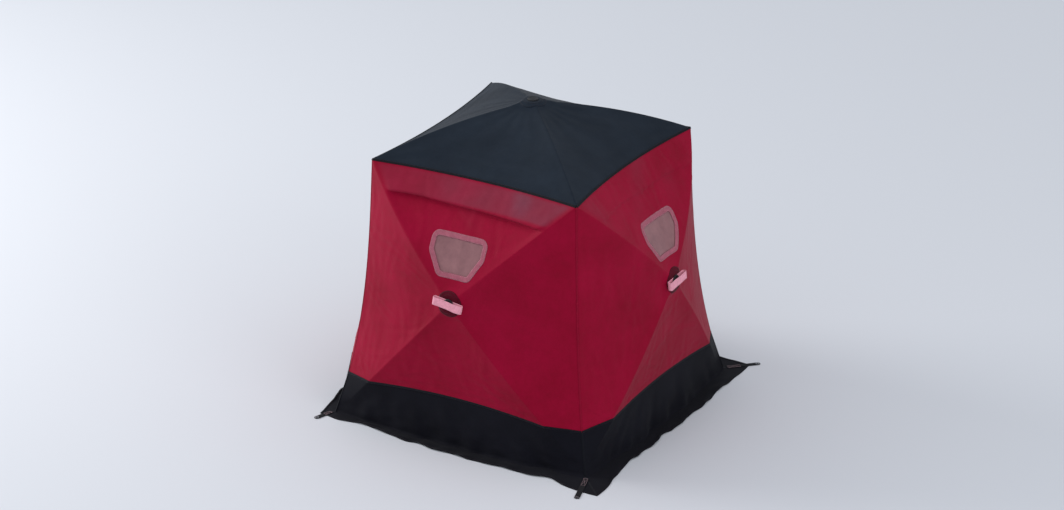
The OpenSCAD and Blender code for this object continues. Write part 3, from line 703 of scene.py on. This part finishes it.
def wall_wrinkles(p, q, k):
    """How far the stretched cloth of wall k stands out of its smooth facets."""
    seed = WALL_SEEDS[k]
    ident, s, t, *_ = WALL.locate(p, q)
    from_pole = np.minimum(s, 1 - s)
    mask = smooth(t, 0.12, 0.3) * smooth(1 - t, 0.0, 0.05) * smooth(from_pole, 0.0, 0.14)
    out = SWELL * waves(p, q, seed, 0.55) * mask
    corners = (-ROOF_HALF, CORNER_H), (ROOF_HALF, CORNER_H), (cross_x, SEAM_H), (-cross_x, SEAM_H)
    for i, (x, z) in enumerate(corners):
        out += CORNER_FOLD * corner_folds(p - x, q + HUB_H - z, seed + 31 + i, 11 + i, 0.26) * mask
    out += HUB_FOLD * corner_folds(p, q, seed + 61, 13, 0.13) * mask
    for i, angle in enumerate(LONG_ANGLES):
        out += LONG_FOLD * folds(p, q, seed + 81 + i, 0.085, 0.6, angle) * mask
    from_edge = (1 - t) * np.where(ident == 0, top_q, seam_half)
    beside = np.sin(from_edge * TAU / 0.06 + 2.0 * waves(p, q, seed + 5, 0.5))
    out += EDGE_FOLD * beside * np.exp(-from_edge / 0.09) * mask
    drop = top_q - q
    line = CREASE_DROP + 0.012 * p / ROOF_HALF + 0.004 * waves(p, 0.0, seed + 9, 0.5)
    above = np.clip(drop / line, 0, 1) ** 1.5 * (drop < line)
    under = (drop >= line) * (1 - 2.1 * smooth(drop - line, 0.0, CREASE_W))
    under = under * np.exp(-np.maximum(drop - line - CREASE_W, 0) / 0.05)
    strength = 1.0 if k == 0 else 0.3
    return out + strength * CREASE_H * (ident == 0) * smooth(from_pole, 0.0, 0.06) * (above + under)


def wall_painted_sheen(p, q, k):
    """Share of painted grey sheen, the sky's reflection, on the cloth: thin along the top, and on the
    front's up-facing band over its crease.
    """
    seed = WALL_SEEDS[k]
    ident, s, *_ = WALL.locate(p, q)
    drop = top_q - q
    inner = (ident == 0) * smooth(np.minimum(s, 1 - s), 0.0, 0.05)
    # Painted sheen, fading out downwards from the top of the upper facet
    sheen_share = 0.11 * smooth(waves(p, q, seed + 200, 0.4), 0.0, 1.2) * inner * smooth(0.3 - drop, 0.0, 0.3)
    if k == 0:
        # On the front, a stronger painted sheen on the up-facing band over the crease, stronger to the
        # right
        over = inner * smooth(CREASE_DROP - drop, -0.004, 0.012) * smooth(drop, 0.0, 0.02)
        side = 0.35 + 0.65 * smooth(p, -0.45, 0.45)
        sheen_share = sheen_share + 0.30 * over * side * (0.9 + 0.1 * waves(p, q, seed + 210, 0.16))
    return np.clip(sheen_share, 0, 1)


def roof_wrinkles(p, q):
    """How far the roof's cloth stands out of its smooth facets."""
    _, s, t, *_ = ROOF.locate(p, q)
    mask = smooth(t, 0.1, 0.3) * smooth(1 - t, 0.0, 0.06) * smooth(np.minimum(s, 1 - s), 0.0, 0.12)
    out = ROOF_SWELL * waves(p, q, ROOF_SEED, 0.5) * mask
    for i, (x, y) in enumerate(((-1, -1), (1, -1), (1, 1), (-1, 1), (0, 0))):
        dx, dy = p - x * ROOF_HALF, q - y * ROOF_HALF
        r = np.hypot(dx, dy)
        fan = np.sin(np.arctan2(dy, dx) * (16 + i) + 2 * waves(p, q, ROOF_SEED + i, 0.7))
        out += ROOF_FOLD * fan * np.exp(-r / 0.28) * smooth(r, 0.03, 0.1) * mask
    from_edge = (1 - t) * ROOF_HALF
    beside = np.sin(from_edge * TAU / 0.08 + 1.5 * waves(p, q, ROOF_SEED + 5, 0.7))
    return out + ROOF_EDGE_FOLD * beside * np.exp(-from_edge / 0.15) * mask


UP = np.array([0.0, 0.0, 1.0])


def surface(line, lift, k):
    """Points given in the plane of wall k, or of the roof, on its cloth and lifted off it."""
    p, q = line.T
    if k == ROOF_K:
        return stacked(p, q, ROOF_HUB_H - (ROOF.depth(p, q) - roof_wrinkles(p, q) - lift))
    w = WALL.depth(p, q) - wall_wrinkles(p, q, k) - lift
    return turned(stacked(p, w - HUB_OUT, q + HUB_H), k)


def outwards(k):
    """The direction out of wall k, or of the roof."""
    return UP if k == ROOF_K else turned(unit([0, -1, 0.1]), k)


# Wall and roof cloth. The step is the spacing of their points
STEP = 0.0103
RIM_STEP = STEP * 0.7
CLEAR = STEP * 0.45
HOLE_R = 0.0068
hub_hole = circle(HOLE_R, 16)


def polar_points(panel):
    """Points on rings round the hub, and more along each pole for the fold over it."""
    start, pts = 0.03, []
    around = run_along(closed_line(panel.edge))[-1]
    rings = round(panel.rad[:-1].mean() / STEP)
    for t in start + (1 - start) * np.arange(1, rings) / rings:
        count = max(4, round(around * t / STEP / 4))
        s = np.arange(count) / count
        pts += [stacked(*edge(s)[:2]) * t for edge, _ in panel.facets]
    between = start + (1 - start) * (np.arange(1, rings) + 0.5) / rings
    pts += [stacked(*edge(np.zeros(1))[:2]) * between[:, None] for edge, _ in panel.facets]
    return np.concatenate(pts)


def stretched(name, panel, points, holes, k, paint):
    """The cloth of a wall or the roof: the piece, its points in the plane and its area."""
    outline = resample(panel.edge, STEP)
    flat, f = triangulate(outline, holes, clear_of(points, [outline] + holes, CLEAR))
    v = surface(flat, 0.0, k)
    return thick(name, v, f, CLOTH_T, paint, flat), flat, area_of(v, f)


wall_points = polar_points(WALL)
for k, side in enumerate(SIDES):
    holes = [hub_hole, resample(window_line(-0.014), RIM_STEP)]
    if k == BACK:
        holes.append(resample(door_line(0.0), RIM_STEP))
    obj, flat, area = stretched(f"wall_cloth_{side}", WALL, wall_points, holes, k, RED)
    # Each wall stores its share of painted sheen on its points
    painted_sheen = obj.data.attributes.new("painted_sheen", "FLOAT", "POINT")
    painted_sheen.data.foreach_set("value", np.float32(np.tile(wall_painted_sheen(*flat.T, k), 2)))
    dresses(f"wall_{side}")

roof, _, area = stretched("roof_cloth", ROOF, polar_points(ROOF), [hub_hole], ROOF_K, BLACK)
dresses("roof_cover")

# Skirt. Its columns of points are at the shares u, from -1 to 1 along the wall
u = np.linspace(-1, 1, (228) + 1)
HANG_ROWS, FLAP_ROWS = 19, 8
# Share of the drop below which the skirt runs straight to the ground, clear of the feet
KNEE = 0.75
# How far it passes outside the lower poles
POLE_CLEAR = 0.002
# How far each corner of the flap was pulled out or drawn in, and how far along the hem
FLAP_PULL = (0.065, 0.012, 0.0, -0.035)
FLAP_PULL_RUN = 0.34
# Share by which the front's flap is rucked up towards its left corner
RUCK = 0.48
HEM_W, HEM_T = 0.011, 0.0030


def fold_y(x):
    return -BASE_HALF - SKIRT_BULGE * (1 - (x / BASE_HALF) ** 2)


# Shares of the way from the middle out to the pole, and from the pole out to the corner
inner = np.minimum(np.abs(u) / over_x, 1)
beyond = np.maximum(np.abs(u) - over_x, 0) / (1 - over_x)
# The line where the skirt meets the ground: round the feet and bowed out between them
foot_x = np.sign(u) * (inner * foot_xy * (1 - beyond) + (BASE_HALF - GAP) * beyond)
FOOT_LINE = foot_x, fold_y(foot_x), CLOTH_T


def skirt_line(f):
    """The hanging skirt at a share of its drop, from the seam down to the ground."""
    z = (seam_z(np.abs(u) * seam_half) - GAP) * (1 - f) + CLOTH_T * f
    down = (HUB_H - z) / -lower_dir[1]
    at_pole = cross_depth - HUB_OUT
    over = ridge(lower, down) - HUB_OUT - POLE_CLEAR - (at_pole * (1 - f) + fold_y(foot_xy) * f)
    seam = at_pole + SEAM_SAG * (1 - inner ** 2)
    x = inner * down * lower_dir[0]
    y = seam * (1 - f) + fold_y(inner * foot_xy) * f + over * inner ** 4 * smooth(f, 0, 0.2)
    c = seam_half * (1 - f) + BASE_HALF * f - GAP
    return np.sign(u) * (x * (1 - beyond) + c * beyond), y * (1 - beyond) - (c + GAP) * beyond, z


def skirt_rows(k):
    """Rows of points down the skirt of side k and out over its flap, in the front's place."""
    rows = []
    for f in np.linspace(0, 1, HANG_ROWS):
        x, y, z = skirt_line(min(f, KNEE))
        if f > KNEE:
            g = (f - KNEE) / (1 - KNEE)
            x, y, z = [a * (1 - g) + b * g for a, b in zip((x, y, z), FOOT_LINE)]
        swing = 0.009 * f ** 1.4 * smooth(seam_half * (1 - f) + BASE_HALF * f - np.abs(x), 0.07, 0.20)
        ripple = waves(u, f * 0.15 + k, 51 + k, 0.28) + 0.5 * waves(u, f * 0.3, 91 + k, 0.11)
        rows.append(stacked(x, y - swing * ripple, z))
    foot_x, foot_y, _ = rows[-1].T
    from_corner = BASE_HALF - np.abs(foot_x)
    lift = smooth(from_corner, 0.09, 0.26)
    ruck = RUCK * (k == 0) * smooth(-u, 0.0, 0.6) * smooth(from_corner, 0.02, 0.2)
    reach = FLAP_W * (1 - lift * (0.06 + ruck - 0.07 * waves(u, k, 171 + k, 0.22)))
    for g in np.arange(1, FLAP_ROWS + 1) / FLAP_ROWS:
        straight = foot_x * (1 + FLAP_W / BASE_HALF * g)
        x = np.where(np.abs(u) > 0.999, foot_x + np.sign(foot_x) * FLAP_W * g, straight)
        y = foot_y - reach * g
        for corner, end in ((k, 1), ((k + 3) % 4, -1)):
            near = smooth(FLAP_PULL_RUN - (BASE_HALF - end * foot_x), 0.0, FLAP_PULL_RUN)
            pull = FLAP_PULL[corner] * g * near
            x = x + end * pull
            y = y - pull
        ripple = 0.004 * (1 + waves(u, g * 0.25 + k, 151 + k, 0.2))
        fine = 0.0015 * (1 + waves(u, g * 0.3, 191 + k, 0.09))
        rows.append(stacked(x, y, CLOTH_T + np.maximum((ripple + fine) * g * lift, 0)))
    return np.array(rows)


for k, side in enumerate(SIDES):
    grid = skirt_rows(k)
    m, n = grid.shape[:2]
    uv = stacked(run_along(grid[HANG_ROWS // 2]), run_along(grid[:, n // 2])[:, None]).reshape(-1, 2)
    faces = quads(m, n, around=False)[:, OVER]
    obj = thick(f"skirt_cloth_{side}", turned(grid.reshape(-1, 3), k), faces, CLOTH_T, SKIRT, uv)
    co = np.array([p.co for p in obj.data.vertices])
    co[:, 2] = np.maximum(co[:, 2], 0.0)
    obj.data.vertices.foreach_set("co", co.ravel())
    dresses(f"skirt_{side}")
    hem = turned(grid[-1], k) - UP * CLOTH_T / 2
    inward = unit(np.cross(UP, np.gradient(hem, axis=0)))
    low = hem + inward * 0.005 + UP * 0.0008
    low[:, 2] = np.maximum(low[:, 2], 0.0016)
    tape(f"flap_hem_{side}", low, inward, UP, SKIRT, HEM_W, HEM_T, bulge=3.0)
    beads(f"flap_stitches_{side}", low + inward * 0.003 + UP * 0.0013, UP, DARK_THREAD, r=0.00045)

# Windows and door: thicknesses, the tapes' lift off the cloth, and steps along them
TAPE_T, TAPE_LIFT, TAPE_STEP = 0.0012, 0.0006, 0.008
STITCH_STEP = 0.004
PANE_STEP, PANE_T = 0.012, 0.0008


def matched(line_at, first, second):
    """Points along two outlines of one shape, side by side."""
    a, b = closed_line(line_at(first)), closed_line(line_at(second))
    d = run_along((a + b) / 2)
    t = np.linspace(0, d[-1], round(d[-1] / TAPE_STEP) + 1)[:-1]
    return at_lengths(t, d, a), at_lengths(t, d, b)


def strip_on_wall(name, a, b, k, paint):
    """A flat tape on the cloth between two matched lines, its edges a little thinner."""
    rows = []
    for g in np.linspace(0, 1, 5):
        lift = TAPE_LIFT + TAPE_T * (1 - 0.45 * abs(2 * g - 1) ** 6)
        rows.append(surface(a * (1 - g) + b * g, lift, k))
    return band(name, rows, TAPE_T, paint, np.linalg.norm(b - a, axis=1).mean())


def stitched(name, line, lift, k, paint):
    """Stitches on the cloth along a closed line."""
    beads(name, surface(closed_line(line), lift, k), outwards(k), paint)


for k, side in enumerate(SIDES):
    border = strip_on_wall(f"window_tape_{side}", *matched(window_line, -BORDER_W, 0.0), k, BORDER)
    dresses(f"window_border_{side}")
    rim = resample(window_line(-0.006), PANE_STEP)
    low, high = (-0.19, WINDOW_RISE), (0.19, WINDOW_RISE + WINDOW_H)
    flat, f = filled(rim, low, high, PANE_STEP, PANE_STEP / 2)
    pane = thick(f"window_pane_{side}", surface(flat, -CLOTH_T - 0.001, k), f, PANE_T, VINYL, flat)
    dresses(f"window_{side}")
    for name, d in (("outer", -0.0035), ("inner", -0.0245)):
        line = resample(window_line(d), STITCH_STEP)
        stitched(f"window_stitches_{name}_{side}", line, 0.0017, k, PALE_THREAD)

# Door in the back wall: the cloth leaf, the zipper round it and its sliders
rim = resample(door_line(-0.004), RIM_STEP)
flat, f = filled(rim, rim.min(0), rim.max(0), STEP, CLEAR)
v = surface(flat, 0.0, BACK)
leaf = thick("door_leaf", v, f, CLOTH_T, RED, flat)
dresses("door_panel")

for name, first, second in (("inner", -0.0150, -0.0002), ("outer", 0.0002, 0.0150)):
    a, b = matched(door_line, first, second)
    zip_tape = strip_on_wall(f"zipper_tape_{name}", a, b, BACK, BINDING)
    dresses("door_zipper")

track = closed_line(resample(door_line(0.0), STITCH_STEP))
chain = surface(track, 0.0010, BACK)
teeth = beads("zipper_teeth", chain, outwards(BACK), ZIP_TEETH, pitch=0.0030, length=0.0056, r=0.0011,
              across=True, height=0.75)
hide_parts("door_zipper")
for name, d in (("inner", -0.0125), ("outer", 0.0125)):
    stitched(f"zipper_stitches_{name}", resample(door_line(d), STITCH_STEP), 0.0016, BACK, DARK_THREAD)


def oval(rx, ry, power, cy=0.0):
    """A rounded outline, squarer for a greater power."""
    c = circle(1.0, 24)
    return np.sign(c) * np.abs(c) ** (2 / power) * [rx, ry] + [0, cy]


def plate(name, line, thickness, chamfer, at, axes, paint, hole=None):
    """A flat plate with chamfered edges at a place, on its axes right, up and out."""
    middle = line.mean(0)
    inner = line - unit(line - middle) * chamfer
    levels = [(inner, 0.0), (line, chamfer), (line, thickness - chamfer), (inner, thickness)]
    if hole is not None:
        levels += [(hole, thickness), (hole, 0.0)]
    verts = [at + np.array([x, y, z]) @ axes for ring, z in levels for x, y in ring]
    new_object(name, verts, tube(len(levels), len(line), closed=hole is not None), paint)


# Each slider's tab and cord hang down along the cloth
for i, share in enumerate((0.33, 0.80)):
    spot = int(share * (len(chain) - 1))
    ahead = unit(chain[spot + 1] - chain[spot - 1])
    out = square_to(outwards(BACK), ahead)
    axes = np.cross(ahead, out), ahead, out
    at = chain[spot] + out * 0.0012
    plate(f"slider_body_{i}", oval(0.0062, 0.0095, 3), 0.0030, 0.0009, at, axes, STEEL)
    plate(f"slider_bridge_{i}", oval(0.0018, 0.0060, 3), 0.0034, 0.0008, at + out * 0.0028, axes, STEEL)
    at = at + out * 0.0052
    drop = unit(surface(track[spot][None] - [0, 0.072], 0.0052, BACK)[0] - at)
    out = square_to(outwards(BACK), drop)
    axes = np.cross(out, drop), drop, out
    plate(f"slider_tab_{i}", oval(0.0050, 0.0150, 4), 0.0016, 0.0005, at + drop * 0.012, axes, STEEL,
          hole=oval(0.0022, 0.0050, 3, cy=0.0070))
    plate(f"slider_pull_{i}", oval(0.0040, 0.0240, 3), 0.0030, 0.0010, at + drop * 0.046, axes, PALE)

# Pull loops of flat webbing on the hubs: a round-ended loop, as the middle line of its webbing
out_dir = np.array([0.0, -math.cos(HUB_TILT), math.sin(HUB_TILT)])
up_dir = np.array([0.0, math.sin(HUB_TILT), math.cos(HUB_TILT)])
right_dir = np.array([1.0, 0.0, 0.0])
foot = [0.0, -HUB_OUT, HUB_H] + out_dir * (PATCH_OFF + GAP)
a = np.linspace(0, math.pi, 14)
end_r = (PULL_DEPTH - WEB_T) / 2
right_end = [(PULL_LEN - PULL_DEPTH) / 2, PULL_DEPTH / 2] + end_r * stacked(np.sin(a), -np.cos(a))
line = resample(np.concatenate([right_end, [0, PULL_DEPTH] - right_end]), 0.0035)
away = smooth(line[:, 1], PULL_DEPTH * 0.3, PULL_DEPTH)
# Its far side from left to right
far = np.flatnonzero(line[:, 1] > PULL_DEPTH * 0.5)
far = far[np.argsort(line[far, 0])]
for k, side in enumerate(SIDES):
    c, s = math.cos(math.radians(PULL_TURN[k])), math.sin(math.radians(PULL_TURN[k]))
    up = up_dir * c - right_dir * s
    path = foot + (right_dir * c + up_dir * s) * line[:, :1] + out_dir * line[:, 1:]
    lift = unit(np.cross(up, np.roll(path, -1, 0) - np.roll(path, 1, 0)))
    lean = 0.05 * waves(line[:, 0], 0.0, 440 + k, 0.2) * away
    across = unit(up + lean[:, None] * lift)
    sag = 0.0016 * waves(line[:, 0], 0.0, 400 + k, 0.12) * away
    path = path + up * sag[:, None]
    profile = webbing_profile(PULL_W / 2, WEB_T, rim=0.988, shoulder=0.94, rim_y=0.34)
    frame_at = turned(path, k), turned(across, k), turned(lift, k)
    loop = swept(f"pull_band_{side}", *frame_at, *profile, PALE, closed=True)
    dresses(f"pull_loop_{side}")
    for name, share in (("upper", 0.40), ("lower", -0.40)):
        row = turned((path + across * share * PULL_W + lift * WEB_T / 2)[far], k)
        beads(f"pull_stitches_{name}_{side}", row, turned(out_dir, k), PALE_THREAD, r=0.0004)

# Anchor straps of webbing on the corners of the skirt, each with a metal eyelet
ANCHOR_START = (BASE_HALF + FLAP_W - ANCHOR_LAP) * np.array([1, -1, 0]) + UP * (CLOTH_T + GAP)
# The rolled eyelet in section, out from its middle and up, in millimetres
EYELET = np.array([(6.0, 0.5), (6.3, 0.1), (7.2, -0.5), (8.6, -0.8), (9.8, -0.6), (10.5, -0.1), (10.4, 0.0),
                   (9.6, 0.0), (9.4, 1.2), (9.6, 2.4), (10.4, 2.4), (10.5, 2.5), (9.8, 3.0), (8.6, 3.2),
                   (7.2, 2.9), (6.3, 2.3), (6.0, 1.9)])
for k in range(4):
    reach = ANCHOR_LEN * ANCHOR_REACH[k]
    a = math.radians(-45 + ANCHOR_TURN[k])
    ahead = np.array([math.cos(a), math.sin(a), 0.0])
    across = np.cross(UP, ahead)
    tip = reach - ANCHOR_W / 2
    round_in = np.sin(np.linspace(0, math.pi / 2, 14)[1:]) * ANCHOR_W / 2
    at = np.concatenate([np.linspace(0, tip, 40), tip + round_in])
    half = np.sqrt(np.maximum((ANCHOR_W / 2) ** 2 - np.maximum(at - tip, 0) ** 2, 0.0012 ** 2))
    path = ANCHOR_START + UP * WEB_T / 2 + ahead * at[:, None]
    profile = webbing_profile(half[:, None], WEB_T, rim=0.985, shoulder=0.93, rim_y=0.36)
    strap = swept(f"anchor_webbing_{k + 1}", turned(path, k), turned(across, k), UP, *profile, STRAP,
                  edge=ANCHOR_W / 2)
    dresses(f"anchor_strap_{k + 1}")
    # A box of stitches with a cross in it
    lap = min(0.085, reach * 0.4)
    box = (0.006, -0.011), (lap, -0.011), (lap, 0.011), (0.006, 0.011)
    box = np.array(box)[[0, 1, 2, 3, 0, 2, 1, 3]]
    row = ANCHOR_START + ahead * box[:, :1] + across * box[:, 1:] + UP * WEB_T
    row = np.concatenate([np.linspace(a, b, 24)[:-1] for a, b in zip(row, row[1:])])
    beads(f"anchor_stitches_{k + 1}", turned(row, k), UP, PALE_THREAD, pitch=0.0045, length=0.0034)
    turn = np.linspace(0, TAU, 49)[:-1, None, None]
    r, z = EYELET[:, :1] / 1000, EYELET[:, 1:] / 1000
    v = ANCHOR_START + ahead * tip + (ahead * np.cos(turn) + across * np.sin(turn)) * r + UP * z
    faces = quads(len(turn), len(EYELET), closed=True)[:, OVER]
    eyelet = new_object(f"anchor_eyelet_{k + 1}", turned(v.reshape(-1, 3), k), faces, STEEL)
    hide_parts(f"anchor_strap_{k + 1}")


# Bound seams along the eaves, the corners and the top of the skirt
def seam_band(name, path, out, k, paint, width, height, sewn=False):
    """A folded tape over a seam of side k, given in the front's place."""
    path = turned(path, k)
    ahead = unit(np.gradient(path, axis=0))
    out = square_to(turned(out, k), ahead)
    across = np.cross(ahead, out)
    tape(name, path, across, out, paint, width, height, bulge=2.6)
    if sewn:
        for label, sign in (("a", -1), ("b", 1)):
            row = path + across * sign * width * 0.3 + out * height * 0.4
            beads(f"{name}_stitches_{label}", row, out, DARK_THREAD, r=0.00045)


s = np.linspace(0, 1, 121)
EAVE = stacked(ROOF_HALF * (2 * s - 1), eave_in(s) - ROOF_HALF, CORNER_H)
z = SEAM_H + (CORNER_H - SEAM_H) * s
CORNER = stacked(corner_half(z), -corner_half(z), z)
z = CLOTH_T + (SEAM_H - CLOTH_T) * s
c = seam_half + (BASE_HALF - seam_half) * (1 - z / SEAM_H)
SKIRT_CORNER = stacked(c, -c, z)
left = np.linspace(0.001 - seam_half, -cross_x, 41)[:-1]
x = np.concatenate([left, np.linspace(-cross_x, cross_x, 161), -left[::-1]])
q = seam_z(x) - HUB_H
# Its depth is taken a little inside the wall's edge
SHRINK = 0.9985
SKIRT_TOP = stacked(x, WALL.depth(x * SHRINK, q * SHRINK) - 0.0006 - HUB_OUT, q + HUB_H)
out = unit([1, -1, 0.15])
for k, side in enumerate(SIDES):
    seam_band(f"eave_binding_{side}", EAVE, unit([0, -1, 0.75]), k, BINDING, 0.013, 0.005, sewn=True)
    seam_band(f"corner_seam_{side}", CORNER, out, k, RED_TAPE, 0.008, 0.0022)
    seam_band(f"skirt_corner_{side}", SKIRT_CORNER, out, k, BINDING, 0.009, 0.0036)
    c = BASE_HALF - 0.004 + (FLAP_W + FLAP_PULL[k]) * s
    seam_band(f"flap_corner_{side}", stacked(c, -c, CLOTH_T), UP, k, BINDING, 0.010, 0.0016)
    seam_band(f"skirt_binding_{side}", SKIRT_TOP, outwards(0), k, BINDING, 0.014, 0.0035, sewn=True)

# Sewn patches round the hubs, thinner at the rim. The walls' patches are darker red than the cloth, partly
# painted shade round the pull loops
PATCH_T, PATCH_LIFT, RIM_LIFT = 0.0011, 0.0015, 0.0009
radii = np.linspace(HOLE_R, 0.072, 14)
for k, side in enumerate(SIDES + ("roof",)):
    under, slot, paint = f"wall_cloth_{side}", "wall_cloth", PATCH
    if k == ROOF_K:
        under, slot, paint = "roof_cloth", "roof_cloth", BLACK
    rows = [surface(circle(r, 96), RIM_LIFT if r == radii[-1] else PATCH_LIFT, k) for r in radii]
    patch = band(f"hub_patch_{side}", rows, PATCH_T, paint, 0.065)
    for name, r in (("outer", 0.068), ("inner", 0.052)):
        stitched(f"patch_stitches_{name}_{side}", circle(r, 96), 0.0016, k, DARK_THREAD)

# The solids that stay
FINISHES = {"hub_": PLASTIC, "pole_sockets": PLASTIC, "corner_": PLASTIC, "poles_": ROD}
for name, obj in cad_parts.items():
    for start, finish in FINISHES.items():
        if name.startswith(start):
            obj.data.materials.clear()
            obj.data.materials.append(finish)

# Stage: a pale floor, a sky that the camera sees darker than it lights, and two lamps
bpy.ops.mesh.primitive_plane_add(size=60, location=(0, 0, -0.0005))
floor = bpy.context.object
floor.name = "floor"
pale = Paint("floor_pale", Base_Color=(0.66, 0.68, 0.72, 1), Roughness=0.9, Specular_IOR_Level=0.1)
floor.data.materials.append(pale.material)

world = bpy.context.scene.world or bpy.data.worlds.new("World")
bpy.context.scene.world = world
world.use_nodes = True
world.node_tree.nodes.clear()
sky = Nodes(world.node_tree)
rays = sky.add("ShaderNodeLightPath").outputs
through = sky.math("ADD", rays["Is Glossy Ray"], rays["Is Transmission Ray"], clamp=True)
direct = sky.math("ADD", rays["Is Camera Ray"], through, clamp=True)
lights = sky.add("ShaderNodeBackground", Color=(0.92, 0.95, 1.0, 1), Strength=0.82)
seen = sky.add("ShaderNodeBackground", Color=(0.52, 0.545, 0.59, 1), Strength=1.0)
mix = sky.add("ShaderNodeMixShader", {0: direct, 1: lights.outputs[0], 2: seen.outputs[0]})
sky.add("ShaderNodeOutputWorld", {0: mix.outputs[0]})


def lamp(name, place, power, colour):
    data = bpy.data.lights.new(name, "AREA")
    data.shape = "DISK"
    data.size = 5.0
    data.energy = power
    data.color = colour
    obj = bpy.data.objects.new(name, data)
    obj.location = place
    obj.rotation_euler = (Vector((0, 0, 0.7)) - Vector(place)).to_track_quat("-Z", "Y").to_euler()
    bpy.context.scene.collection.objects.link(obj)


lamp("key", (-9.3, -2.0, 4.2), 620, (1.0, 0.99, 0.98))
lamp("fill", (8.0, -3.0, 5.0), 130, (0.96, 0.98, 1.0))

# Camera: the photograph's direction and distance, on a longer lens
AZ, EL, DIST = math.radians(29.84), math.radians(24.17), 26.13
TARGET = Vector((0, 0, 0.8))
back = Vector((math.sin(AZ) * math.cos(EL), -math.cos(AZ) * math.cos(EL), math.sin(EL)))
cam_data = bpy.data.cameras.new("camera")
cam_data.lens = 165.0
cam_data.clip_end = 200.0
camera = bpy.data.objects.new("camera", cam_data)
camera.location = TARGET + back * DIST
level = (-back).to_track_quat("-Z", "Y")
camera.rotation_euler = (level @ Quaternion((0, 0, 1), math.radians(0.3))).to_euler()
bpy.context.scene.collection.objects.link(camera)
bpy.context.scene.camera = camera
bpy.context.scene.view_settings.view_transform = "Standard"
